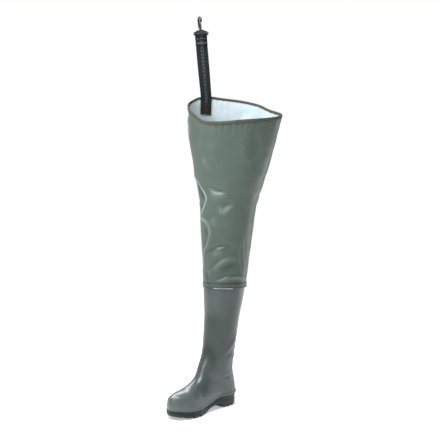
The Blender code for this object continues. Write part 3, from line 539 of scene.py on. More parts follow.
@dataclass
class LegShape:
    """The shaft's shape as the frame has it: level ovals, the collar's rim and the side seam."""

    turn: float = radians(42.0)
    hem_z: float = 0.3825
    hem_height: float = 0.0135
    wall: float = 0.0010
    seam_forward: float = radians(9.0)
    level_zone: float = 0.3
    level_height: float = 0.56
    rim_band: float = 0.88
    ovals: tuple[Row, ...] = (
        {"z": 0.3700, "x": 0.0119, "y": -0.0147, "long": 0.0707, "short": 0.0707},
        {"z": 0.4060, "x": 0.0120, "y": -0.0147, "long": 0.0707, "short": 0.0707},
        {"z": 0.4180, "x": 0.0126, "y": -0.0145, "long": 0.0718, "short": 0.0718},
        {"z": 0.4620, "x": 0.0150, "y": -0.0142, "long": 0.0747, "short": 0.0747},
        {"z": 0.5205, "x": 0.0185, "y": -0.0140, "long": 0.0805, "short": 0.0810},
        {"z": 0.6370, "x": 0.0255, "y": -0.0137, "long": 0.0905, "short": 0.0890},
        {"z": 0.7150, "x": 0.0330, "y": -0.0130, "long": 0.1080, "short": 0.0915},
        {"z": 0.7930, "x": 0.0400, "y": -0.0120, "long": 0.1270, "short": 0.0930},
        {"z": 0.8900, "x": 0.0470, "y": -0.0108, "long": 0.1470, "short": 0.0940},
        {"z": 0.9500, "x": 0.0520, "y": -0.0104, "long": 0.1520, "short": 0.0945},
        {"z": 1.0200, "x": 0.0530, "y": -0.0100, "long": 0.1535, "short": 0.0950},
    )
    rim: tuple[Row, ...] = (
        {"angle": 0.0, "z": 0.9360},
        {"angle": 38.0, "z": 0.9610},
        {"angle": 60.0, "z": 0.9850},
        {"angle": 85.0, "z": 1.0005},
        {"angle": 105.0, "z": 1.0065},
        {"angle": 122.0, "z": 1.0100},
        {"angle": 138.0, "z": 1.0045},
        {"angle": 152.0, "z": 0.9920},
        {"angle": 168.0, "z": 0.9770},
        {"angle": 182.0, "z": 0.9620},
        {"angle": 209.0, "z": 0.9320},
        {"angle": 229.0, "z": 0.9050},
        {"angle": 250.0, "z": 0.8990},
        {"angle": 275.0, "z": 0.9035},
        {"angle": 310.0, "z": 0.9130},
        {"angle": 360.0, "z": 0.9360},
    )

    def row(self, z: float) -> tuple[float, ...]:
        """Return centre x, centre y, long half and short half at one height."""
        return tuple(along(self.ovals, "z", name, z) for name in ("x", "y", "long", "short"))

    def point(self, angle: float, z: float, inset: float) -> Vector:
        """Return a point of the wall, moved in by inset."""
        x, y, long_half, short_half = self.row(z)
        u = (long_half - inset) * cos(angle)
        v = (short_half - inset) * sin(angle)
        c, s = cos(self.turn), sin(self.turn)
        return Vector((x + u * c - v * s, y + u * s + v * c, z))

    def rim_height(self, angle: float) -> float:
        """Return the rim's height round the oval."""
        return along(self.rim, "angle", "z", degrees(angle) % 360)

    def seam_angle(self, z: float) -> float:
        """Return the side seam's angle on the oval at one height."""
        long_half, short_half = self.row(z)[2:]
        lateral = pi + self.seam_forward - self.turn
        return atan2(sin(lateral) * long_half, cos(lateral) * short_half)

    def column(self, offset: float, level: float) -> tuple[float, float]:
        """Return the oval angle and height of a place on the wall.

        Args:
            offset: angle from the side seam.
            level: place between hem, 0, and rim, 1.

        Returns:
            The angle on the oval and the height.
        """
        z = self.hem_z
        angle = 0.0
        for _ in range(3):
            angle = self.seam_angle(z) + offset
            z = self.hem_z + (self.rim_height(angle) - self.hem_z) * level
            if level < self.level_zone:
                share = level / self.level_zone
                z = (self.hem_z + level * self.level_height) * (1 - share) + z * share
        return angle, z

    def near_rim(self, offset: float, inset: float, drop: float) -> Vector:
        """Return a point beside the wall below the rim.

        Args:
            offset: angle from the side seam.
            inset: distance in from the outer face.
            drop: distance below the rim.

        Returns:
            The point.
        """
        top_angle, top_z = self.column(offset, 1.0)
        low_angle, low_z = self.column(offset, self.rim_band)
        top = self.point(top_angle, top_z, inset)
        return top.lerp(self.point(low_angle, low_z, inset), drop / (top_z - low_z))


# Pieces


@dataclass(frozen=True)
class Fold:
    """One crease of the fabric or the boot, placed by turn about the leg, in degrees, and height.

    Height is positive for a ridge and negative for a trough. The left side is the one to the left of the
    line's direction, seen from outside with the line running up. Tone is how much painted highlight it puts
    on its ridge and painted shade in its trough, and glint how much painted highlight it puts along it as a
    pale edge.
    """

    name: str
    height: float
    left: float
    right: float
    line: tuple[tuple[float, float], ...]
    sharp: float = 0.0
    fade: float = 0.40
    tone: float = 0.8
    glint: float = 0.0


def fold_height(folds: tuple[Fold, ...], points: np.ndarray, axes: np.ndarray,
                wander: float) -> tuple[np.ndarray, np.ndarray, np.ndarray]:
    """Work out how creases move and shade a surface.

    Args:
        folds: the creases.
        points: the surface's points.
        axes: the leg's axis beside each point.
        wander: how far the creases stray from their lines.

    Returns:
        The outward move of each point, its shade from -1 in a trough to 1 on a ridge, and its glint.
    """
    out = points[:, :2] - axes
    radius = np.hypot(out[:, 0], out[:, 1])
    sway = soft_noise(points, SWAY_SCALE, 9.0) * wander
    turn = np.degrees(np.arctan2(out[:, 1], out[:, 0]) + sway / radius)
    z = points[:, 2] + soft_noise(points, SWAY_SCALE, 15.0) * wander
    uneven = 1 + 0.4 * soft_noise(points, UNEVEN_SCALE, 21.0)
    total = np.zeros(len(points))
    shade = np.zeros(len(points))
    glint = np.zeros(len(points))
    for fold in folds:
        LOG.debug("crease %s", fold.name)
        stops = fold.line
        lengths = []
        for (t0, z0), (t1, z1) in zip(stops, stops[1:]):
            lengths.append(hypot(radians(t1 - t0) * MEAN_RADIUS, z1 - z0))
        whole = sum(lengths)
        best = np.full(len(points), 1e9)
        side = np.zeros(len(points))
        share = np.zeros(len(points))
        run = 0.0
        for ((t0, z0), (t1, z1)), length in zip(zip(stops, stops[1:]), lengths):
            px = np.radians((turn - t0 + 180) % 360 - 180) * radius
            pz = z - z0
            sx = np.radians(t1 - t0) * radius
            sz = z1 - z0
            where = np.clip((px * sx + pz * sz) / (sx * sx + sz * sz), 0.0, 1.0)
            away = np.hypot(px - sx * where, pz - sz * where)
            nearer = away < best
            best = np.where(nearer, away, best)
            side = np.where(nearer, sx * pz - sz * px, side)
            share = np.where(nearer, (run + where * length) / whole, share)
            run += length
        width = np.where(side > 0, fold.left, fold.right)
        near = best / width
        soft = np.exp(-near * near)
        keen = np.clip(1 - near * 0.62, 0, None) ** 2
        taper = smooth(0.0, fold.fade, share) * smooth(0.0, fold.fade, 1 - share) * uneven
        move = fold.height * (soft * (1 - fold.sharp) + keen * fold.sharp) * taper
        total += move
        shade += move / FULL_TONE * fold.tone
        glint += fold.glint * np.exp(-(best / GLINT_WIDTH) ** 2) * np.clip(taper, 0, 1)
    return total, np.clip(shade, -1, 1), np.clip(glint, 0, 1)


def new_piece(name: str, points: list[Vector] | np.ndarray, faces: list[tuple[int, ...]]) -> bpy.types.Object:
    """Add a mesh as a piece with its faces pointing outwards.

    Args:
        name: the piece's name.
        points: its corners.
        faces: its faces.

    Returns:
        The new object, at the origin.
    """
    mesh = bpy.data.meshes.new(name)
    mesh.from_pydata([tuple(p) for p in points], [], faces)
    work = bmesh.new()
    work.from_mesh(mesh)
    bmesh.ops.recalc_face_normals(work, faces=work.faces)
    work.to_mesh(mesh)
    work.free()
    piece = bpy.data.objects.new(name, mesh)
    bpy.context.scene.collection.objects.link(piece)
    mesh.shade_smooth()
    return piece


def tube_faces(rings: int, columns: int, closed_run: bool = False) -> list[tuple[int, ...]]:
    """List the quads between rings of points, with the last ring joined to the first if asked."""
    faces = []
    for r in range(rings if closed_run else rings - 1):
        n = (r + 1) % rings
        for c in range(columns):
            d = (c + 1) % columns
            faces.append((r * columns + c, r * columns + d, n * columns + d, n * columns + c))
    return faces


def select_only(piece: bpy.types.Object) -> None:
    """Make a piece the only selected and the active one."""
    bpy.ops.object.select_all(action="DESELECT")
    piece.select_set(True)
    bpy.context.view_layer.objects.active = piece


def copy_node(node: bpy.types.Object, name: str) -> bpy.types.Object:
    """Copy a CAD node as a new merged piece that can be worked on."""
    mesh = node.data.copy()
    mesh.name = name
    mesh.materials.clear()
    piece = bpy.data.objects.new(name, mesh)
    bpy.context.scene.collection.objects.link(piece)
    select_only(piece)
    bpy.ops.object.mode_set(mode="EDIT")
    bpy.ops.mesh.select_all(action="SELECT")
    bpy.ops.mesh.remove_doubles(threshold=0.00001)
    bpy.ops.mesh.normals_make_consistent(inside=False)
    bpy.ops.object.mode_set(mode="OBJECT")
    return piece


def dress(piece: bpy.types.Object, finishes: tuple[Finish, ...], node: str = "",
          body: str = BODY) -> bpy.types.Object:
    """Give a piece its finishes, its body and the node that it stands for.

    Args:
        piece: the piece.
        finishes: its finishes, in the order of its material slots.
        node: the CAD node that it replaces, if any.
        body: the CAD body that it rides on.

    Returns:
        The piece.
    """
    for finish in finishes:
        piece.data.materials.append(finish.material())
    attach(piece, body)
    if node:
        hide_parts(node)
    return piece


def shade_by_angle(piece: bpy.types.Object, limit: float) -> None:
    """Shade a piece smooth, but for edges that are sharper than a limit in degrees."""
    select_only(piece)
    bpy.ops.object.shade_smooth_by_angle(angle=radians(limit))


def apply_all(piece: bpy.types.Object) -> None:
    """Apply every modifier of a piece."""
    select_only(piece)
    for modifier in list(piece.modifiers):
        bpy.ops.object.modifier_apply(modifier=modifier.name)


def store(piece: bpy.types.Object, name: str, values: np.ndarray) -> None:
    """Store a number for each point of a piece."""
    attribute = piece.data.attributes.new(name, "FLOAT", "POINT")
    attribute.data.foreach_set("value", np.asarray(values, np.float32))


def store_pattern(piece: bpy.types.Object, values: np.ndarray) -> None:
    """Store pattern coordinates for each face corner of a piece, from a pair for each of its points."""
    layer = piece.data.uv_layers.new(name="pattern")
    corners = np.zeros(len(piece.data.loops), np.int32)
    piece.data.loops.foreach_get("vertex_index", corners)
    layer.data.foreach_set("uv", np.asarray(values, np.float32)[corners].ravel())


def corners_of(piece: bpy.types.Object) -> np.ndarray:
    """Return the places of a piece's points."""
    places = np.zeros(len(piece.data.vertices) * 3, np.float32)
    piece.data.vertices.foreach_get("co", places)
    return places.reshape(-1, 3).astype(float)


def set_corners(piece: bpy.types.Object, places: np.ndarray) -> None:
    """Move a piece's points to new places."""
    piece.data.vertices.foreach_set("co", places.astype(np.float32).ravel())


def normals_of(piece: bpy.types.Object) -> np.ndarray:
    """Return the outward directions at a piece's points."""
    ways = np.zeros(len(piece.data.vertices) * 3, np.float32)
    piece.data.vertices.foreach_get("normal", ways)
    return ways.reshape(-1, 3).astype(float)


def soft_noise(places: np.ndarray, scale: float, shift: float = 0.0) -> np.ndarray:
    """Return smooth noise between about -1 and 1 for each place."""
    offset = Vector((shift, shift * 1.7, shift * 0.6))
    return np.array([noise.noise(Vector(p) * scale + offset) for p in places])


@dataclass
class Shaft:
    """Coated fabric leg with its folds, welded hem, side seam tape and pale lining."""

    leg: LegShape
    columns: int = 190
    rows: int = 250
    seam_half: float = 0.0085
    seam_relief: float = 0.0006
    hem_relief: float = 0.0009
    pleat_height: float = 0.0016
    pleat_tone: float = 0.003
    groove_depth: float = 0.0006
    seam_margin: float = 0.012
    cloth_width: float = 0.56
    wander: float = 0.0030
    folds: tuple[Fold, ...] = (
        Fold("seam_bend", 0.0040, 0.006, 0.016, ((-138, 0.772), (-133, 0.736), (-117.6, 0.7118),
             (-106.4, 0.6889), (-97.3, 0.6649), (-105.4, 0.6418), (-115.4, 0.6233), (-130, 0.598)), 0.7, 0.18,
             1.0, 0.9),
        Fold("bend_facet", -0.0065, 0.011, 0.011, ((-133, 0.735), (-119, 0.695), (-111.5, 0.665),
             (-122, 0.635), (-132, 0.612)), 0.0, 0.3),
        Fold("knee_dent", -0.0050, 0.009, 0.012, ((-101, 0.711), (-95.6, 0.7036), (-77.9, 0.6903),
             (-61.4, 0.6806), (-48, 0.676)), 0.3),
        Fold("knee_ridge", 0.0042, 0.011, 0.012, ((-100, 0.698), (-95.7, 0.6918), (-77.4, 0.6749),
             (-60.9, 0.6678), (-42, 0.668)), 0.3),
        Fold("knee_hollow", -0.0034, 0.014, 0.013, ((-78, 0.650), (-62.1, 0.6529), (-47.9, 0.6466),
             (-30, 0.654)), 0.0, 0.5, 0.4),
        Fold("crescent", 0.0044, 0.010, 0.009, ((-79, 0.638), (-69.6, 0.6283), (-57.0, 0.620),
             (-43.4, 0.6343), (-30, 0.653)), 0.3),
        Fold("shin_patch", 0.0026, 0.016, 0.016, ((-84, 0.612), (-80.5, 0.6067), (-80.3, 0.583),
             (-84, 0.572))),
        Fold("long_ridge", 0.0042, 0.008, 0.009, ((-137, 0.622), (-120, 0.606), (-103.5, 0.5976),
             (-90.8, 0.5787), (-88.1, 0.5535), (-97.8, 0.5218), (-111.8, 0.4926), (-117, 0.4506),
             (-117, 0.425)), 0.6, 0.15, 1.0, 0.4),
        Fold("inner_dip", -0.0045, 0.008, 0.007, ((-110, 0.588), (-101.3, 0.5724), (-99.0, 0.5471),
             (-107.6, 0.5215), (-116, 0.50)), 0.2),
        Fold("shin_arch", -0.0046, 0.008, 0.006, ((-110, 0.482), (-102.5, 0.4963), (-94.9, 0.5045),
             (-67.7, 0.513), (-45.3, 0.5163), (-28, 0.512)), 0.5),
        Fold("shin_dome", 0.0032, 0.012, 0.012, ((-90, 0.488), (-80.3, 0.4927), (-62.8, 0.4974),
             (-49.2, 0.5007))),
        Fold("low_band", 0.0048, 0.010, 0.011, ((-98, 0.428), (-86.2, 0.4387), (-72.1, 0.4499),
             (-50.4, 0.4724), (-34.2, 0.4817), (-18, 0.486)), 0.3),
        Fold("low_shade", -0.0032, 0.012, 0.012, ((-66, 0.437), (-54.4, 0.4472), (-35.6, 0.4608),
             (-20, 0.466))),
        Fold("hem_dent", -0.0042, 0.006, 0.008, ((-92, 0.402), (-80.0, 0.4053), (-53.5, 0.4188),
             (-38.8, 0.4266), (-22, 0.431)), 0.4),
        Fold("hem_roll", 0.0036, 0.007, 0.007, ((-104, 0.412), (-96.6, 0.4095), (-63.3, 0.4038),
             (-38.2, 0.4136), (-19.4, 0.4181), (12.2, 0.4128), (30, 0.408)), 0.2),
        Fold("side_dip", -0.0026, 0.007, 0.007, ((-104.2, 0.4451), (-100.3, 0.4198), (-92.9, 0.3991))),
        Fold("back_streak", -0.0028, 0.006, 0.006, ((-18, 0.53), (-15.9, 0.5097), (-7.9, 0.4651),
             (0.9, 0.4201)), 0.3),
        Fold("rim_streak", -0.0024, 0.005, 0.005, ((-8, 0.56), (-3.3, 0.5346), (4.5, 0.4709), (8, 0.445)),
             0.3),
        Fold("thigh_band", 0.0028, 0.024, 0.020, ((-111, 0.920), (-107, 0.850), (-105, 0.790),
             (-99, 0.735)), 0.0, 0.5, 0.5),
        Fold("thigh_dip", -0.0024, 0.014, 0.016, ((-101, 0.900), (-98, 0.830), (-96, 0.790), (-88, 0.745)),
             0.0, 0.5, 0.5),
        Fold("thigh_crease", 0.0024, 0.007, 0.009, ((-109, 0.800), (-103, 0.7846), (-91.5, 0.7588),
             (-78, 0.741)), 0.3),
        Fold("front_sheen", 0.0024, 0.028, 0.028, ((-88, 0.880), (-88, 0.820), (-84, 0.765), (-78, 0.710)),
             0.0, 0.5, 0.3),
        Fold("inner_flute", 0.0034, 0.022, 0.024, ((-28, 0.930), (-26, 0.800), (-20, 0.680)), 0.0, 0.5,
             0.2),
        Fold("inner_dent", -0.0030, 0.018, 0.018, ((-6, 0.920), (-4, 0.820), (2, 0.710)), 0.0, 0.5, 0.2),
        Fold("knee_back_a", -0.0065, 0.009, 0.012, ((20, 0.672), (50, 0.690), (85, 0.700), (120, 0.686),
             (150, 0.668)), 0.4),
        Fold("knee_back_b", 0.0052, 0.012, 0.012, ((28, 0.654), (60, 0.668), (95, 0.676), (130, 0.660)),
             0.3),
        Fold("knee_back_c", -0.0050, 0.009, 0.011, ((40, 0.628), (75, 0.638), (110, 0.632), (140, 0.612)),
             0.4),
        Fold("knee_back_d", 0.0040, 0.012, 0.012, ((52, 0.606), (90, 0.612), (128, 0.596)), 0.2),
        Fold("knee_back_e", -0.0036, 0.010, 0.010, ((30, 0.735), (66, 0.742), (100, 0.728)), 0.3),
        Fold("calf_slant", 0.0040, 0.010, 0.013, ((150, 0.585), (125, 0.556), (98, 0.520), (80, 0.490)),
             0.4),
        Fold("calf_slant_low", -0.0036, 0.010, 0.010, ((140, 0.560), (115, 0.528), (92, 0.490)), 0.2),
        Fold("heel_side_roll", 0.0034, 0.008, 0.009, ((60, 0.428), (95, 0.420), (130, 0.430), (160, 0.424)),
             0.3),
        Fold("heel_side_dent", -0.0034, 0.007, 0.008, ((52, 0.446), (90, 0.440), (128, 0.449),
             (165, 0.440)), 0.3),
        Fold("outer_crease", 0.0036, 0.009, 0.011, ((-172, 0.690), (-158, 0.664), (-146, 0.646),
             (-136, 0.640)), 0.4),
        Fold("outer_dent", -0.0040, 0.010, 0.010, ((-176, 0.668), (-162, 0.645), (-148, 0.628)), 0.2),
        Fold("outer_low", 0.0032, 0.010, 0.010, ((-178, 0.520), (-162, 0.500), (-146, 0.492)), 0.2),
        Fold("back_flute_a", 0.0046, 0.024, 0.028, ((76, 0.975), (78, 0.880), (84, 0.760)), 0.0, 0.5, 0.2),
        Fold("back_flute_b", -0.0042, 0.022, 0.022, ((102, 0.995), (104, 0.900), (106, 0.780)), 0.0, 0.5,
             0.2),
        Fold("back_flute_c", 0.0036, 0.022, 0.022, ((134, 0.985), (132, 0.900), (128, 0.800)), 0.0, 0.5,
             0.2),
        Fold("inner_back_flute", -0.0040, 0.022, 0.024, ((42, 0.940), (44, 0.850), (48, 0.750)), 0.0, 0.5,
             0.2),
    )

    def _grid(self) -> tuple[np.ndarray, np.ndarray, np.ndarray, np.ndarray]:
        """Return the bare wall's points, levels, angles from the seam and the axis beside each point."""
        edge = self.seam_half / MEAN_RADIUS
        beside = edge + self.seam_margin
        close = [-beside, -edge, -edge * 0.5, 0.0, edge * 0.5, edge, beside]
        rest = tau - 2 * beside
        count = self.columns - len(close)
        offsets = close + [beside + rest * (k + 1) / (count + 1) for k in range(count)]
        low = self.leg.hem_height / self.leg.level_height
        levels = [low * share for share in (0.0, 0.10, 0.30, 0.37, 0.44, 0.60, 0.90, 1.0, 1.09)]
        rest_rows = self.rows - len(levels)
        start = levels[-1]
        levels += [start + (1 - start) * (k + 1) / rest_rows for k in range(rest_rows)]
        points, axes = [], []
        for level in levels:
            for offset in offsets:
                angle, z = self.leg.column(offset, level)
                points.append(tuple(self.leg.point(angle, z, 0.0)))
                axes.append(self.leg.row(z)[:2])
        return np.array(points), np.array(levels), np.array(offsets), np.array(axes)

    def build(self, nodes: dict[str, bpy.types.Object]) -> bpy.types.Object:
        """Build the fabric as one closed wall and give it its fabric and its lining.

        Args:
            nodes: the frame's nodes; not used.

        Returns:
            The shaft.
        """
        points, levels, offsets, axes = self._grid()
        columns, rows = len(offsets), len(levels)
        grid = points.reshape(rows, columns, 3)
        around = np.roll(grid, -1, 1) - np.roll(grid, 1, 1)
        up = np.gradient(grid, axis=0)
        ways = np.cross(around, up)
        ways /= np.linalg.norm(ways, axis=2, keepdims=True)
        ways = ways.reshape(-1, 3)
        out = points[:, :2] - axes
        ways *= np.sign(np.sum(out * ways[:, :2], axis=1))[:, None]
        radius = np.hypot(out[:, 0], out[:, 1])
        z = points[:, 2]
        level = np.repeat(levels, columns)
        offset = np.tile((offsets + pi) % tau - pi, rows)
        calm = smooth(0.398, 0.425, z) * (1 - smooth(0.955, 1.0, level))
        hold = smooth(0.3955, 0.404, z) * (1 - smooth(0.96, 1.0, level))
        folds, shade, glint = fold_height(self.folds, points, axes, self.wander)
        folds *= hold
        drape = 0.0020 * soft_noise(points * (1, 1, 0.6), 11.0) + 0.0009 * soft_noise(points, 31.0, 4.0)
        pleats = self._pleats(offset, level)
        hem_step = z - self.leg.hem_z
        hem_share = hem_step / self.leg.hem_height
        hem = np.where(hem_step < self.leg.hem_height + 0.0002, self.hem_relief, 0.0)
        # Painted shade: dark lines in the hem's groove and along its top and lower edges.
        groove = np.exp(-((hem_share - 0.37) / 0.06) ** 2)
        edges = np.exp(-((hem_share - 1.04) / 0.09) ** 2) + 0.8 * np.exp(-(hem_share / 0.09) ** 2)
        line = np.clip(groove * 0.8 + edges, 0, 1)
        tape = np.where(np.abs(offset) * radius < self.seam_half + 0.0002, 1.0, 0.0)
        tape = np.where(hem > 0, 0.0, tape)
        cloth = folds + drape * calm + pleats
        raised = np.maximum(hem - self.groove_depth * groove, tape * self.seam_relief)
        outer = points + ways * (cloth + raised)[:, None]
        inner = points + ways * (cloth - self.leg.wall)[:, None]
        every = np.vstack([outer, inner.reshape(rows, columns, 3)[::-1].reshape(-1, 3)])
        piece = new_piece("shaft_fabric", every, tube_faces(2 * rows, columns, closed_run=True))
        pattern = np.stack([np.tile(offsets / tau * self.cloth_width, rows), z], axis=1)
        flipped = pattern.reshape(rows, columns, 2)[::-1].reshape(-1, 2)
        store_pattern(piece, np.vstack([pattern, flipped]))
        # Painted light for the cloth's colour: highlight on ridges and shade in troughs, glints on sharp folds,
        # shade lines at the hem.
        masks = {
            "painted_fold_shading": (shade + pleats / self.pleat_tone) * hold,
            "glint": glint * hold,
            "tape": tape * (1 - smooth(0.2, 0.45, 1 - level)),
            "line": line,
        }
        for name, values in masks.items():
            store(piece, name, np.concatenate([values, np.zeros(len(values))]))
        dress(piece, (Finish.FABRIC, Finish.LINING), "shaft")
        first_inner = columns * rows
        for face in piece.data.polygons:
            if first_inner <= face.index < 2 * first_inner - columns:
                face.material_index = 1
        shade_by_angle(piece, 50)
        return piece

    def hem_glint(self) -> bpy.types.Object:
        """Build a pale strip under the hem at the front: a painted highlight along its lower edge."""
        path = []
        for share in np.linspace(0.0, 1.0, 49):
            angle = radians(-82.0 + 54.0 * share) - self.leg.turn
            sag = 0.0004 * (noise.noise(Vector((share * 9.0, 3.0, 1.0))) - 1.0)
            path.append(self.leg.point(angle, self.leg.hem_z + sag, 0.0002))
        cord = round_cord("hem_glint_strip", [path], 0.0010, 8)
        store_pattern(cord, corners_of(cord)[:, :2])
        return dress(cord, (Finish.LINING,))

    def _pleats(self, offset: np.ndarray, level: np.ndarray) -> np.ndarray:
        """Return the small gathers under the collar's tape."""
        seat = np.array([noise.noise(Vector((o * 2.3, 4.0, 1.0))) for o in offset])
        ripple = np.sin(offset * 44 + 3 * seat) * 0.6 + np.sin(offset * 71 + 5 * seat) * 0.4
        strength = 0.55 + 0.45 * np.sin(offset * 3.0 + 1.0)
        reach = smooth(0.90, 0.985, level) * (1 - smooth(0.985, 1.0, level) * 0.6)
        return ripple * strength * reach * self.pleat_height


@dataclass
class Collar:
    """Tape folded over the rim, with the stitches that hold it."""

    leg: LegShape
    columns: int = 300
    thickness: float = 0.0008
    gap: float = 0.0003
    outside: float = 0.0095
    inside: float = 0.0070
    stitch_pitch: float = 0.0034
    stitch_length: float = 0.0022
    stitch_radius: float = 0.00032
    stitch_outside: float = 0.0016
    stitch_inside: float = 0.0014
    length: float = 0.76

    def build(self) -> list[bpy.types.Object]:
        """Build the tape and its stitches."""
        return [self._tape(), self._stitches()]

    def _wander(self, share: float) -> float:
        """Return the small unevenness of a hand-guided edge."""
        return 0.00035 * noise.noise(Vector((share * 37.0, 2.0, 5.0)))

    def _tape(self) -> bpy.types.Object:
        """Build the folded tape as a closed band."""
        out = self.gap + self.thickness
        wall = self.leg.wall
        section = (
            (-self.gap, self.outside), (-out, self.outside), (-out - 0.0002, self.outside * 0.5), (-out, 0.0),
            (-out * 0.6, -out * 0.75), (wall * 0.5, -out - 0.0002), (wall + out * 0.6, -out * 0.75),
            (wall + out, 0.0), (wall + out + 0.0002, self.inside * 0.5), (wall + out, self.inside),
            (wall + self.gap, self.inside), (wall + self.gap, -self.gap), (-self.gap, -self.gap),
        )
        points, pattern = [], []
        for inset, drop in section:
            for c in range(self.columns):
                share = c / self.columns
                edge = self._wander(share) if drop > 0.005 else 0.0
                lift = 0.00025 * noise.noise(Vector((share * 120.0, inset * 900, 1.0)))
                deep = inset - lift if inset < 0 else inset + lift
                points.append(self.leg.near_rim(share * tau, deep, drop + edge))
                pattern.append((share * self.length, drop))
        tape = new_piece("collar_tape", points, tube_faces(len(section), self.columns, closed_run=True))
        store_pattern(tape, np.array(pattern))
        shade_by_angle(tape, 60)
        return dress(tape, (Finish.BINDING,), "collar_binding")

    def _stitches(self) -> bpy.types.Object:
        """Build a row of stitches near the tape's lower edge, outside and inside."""
        paths = []
        count = int(self.length / self.stitch_pitch)
        out = self.gap + self.thickness + 0.0002
        rows = (
            (-out, self.outside - self.stitch_outside),
            (self.leg.wall + out, self.inside - self.stitch_inside),
        )
        for inset, drop in rows:
            for k in range(count):
                start = k / count
                end = start + self.stitch_length / self.length
                low = drop + self._wander(start)
                paths.append([self.leg.near_rim(s * tau, inset, low) for s in (start, (start + end) / 2, end)])
        stitches = round_cord("collar_stitches", paths, self.stitch_radius)
        return dress(stitches, (Finish.TAPE_THREAD,))


def round_cord(name: str, paths: list[list[Vector]], radius: float, sides: int = 6) -> bpy.types.Object:
    """Build stitches or thin strips as round cords with narrow closed ends.

    Args:
        name: the piece's name.
        paths: points along each cord; a path of two or three points becomes one stitch.
        radius: the cord's radius.
        sides: sides of its section.

    Returns:
        The cords as one piece.
    """
    points: list[Vector] = []
    faces: list[tuple[int, ...]] = []
    for path in paths:
        start = len(points)
        way = (path[-1] - path[0]).normalized()
        across = way.orthogonal().normalized()
        other = way.cross(across)
        line = list(path)
        if len(path) < 4:
            line = [path[0]] + [path[0].lerp(path[-1], s) for s in (0.12, 0.5, 0.88)] + [path[-1]]
        sizes = [0.25, 0.85] + [1.0] * (len(line) - 4) + [0.85, 0.25]
        for place, size in zip(line, sizes):
            for s in range(sides):
                angle = tau * s / sides
                points.append(place + (across * cos(angle) + other * sin(angle)) * radius * size)
        for face in tube_faces(len(line), sides):
            faces.append(tuple(start + i for i in face))
        faces.append(tuple(start + s for s in range(sides)))
        faces.append(tuple(start + (len(line) - 1) * sides + s for s in range(sides)))
    return new_piece(name, points, faces)


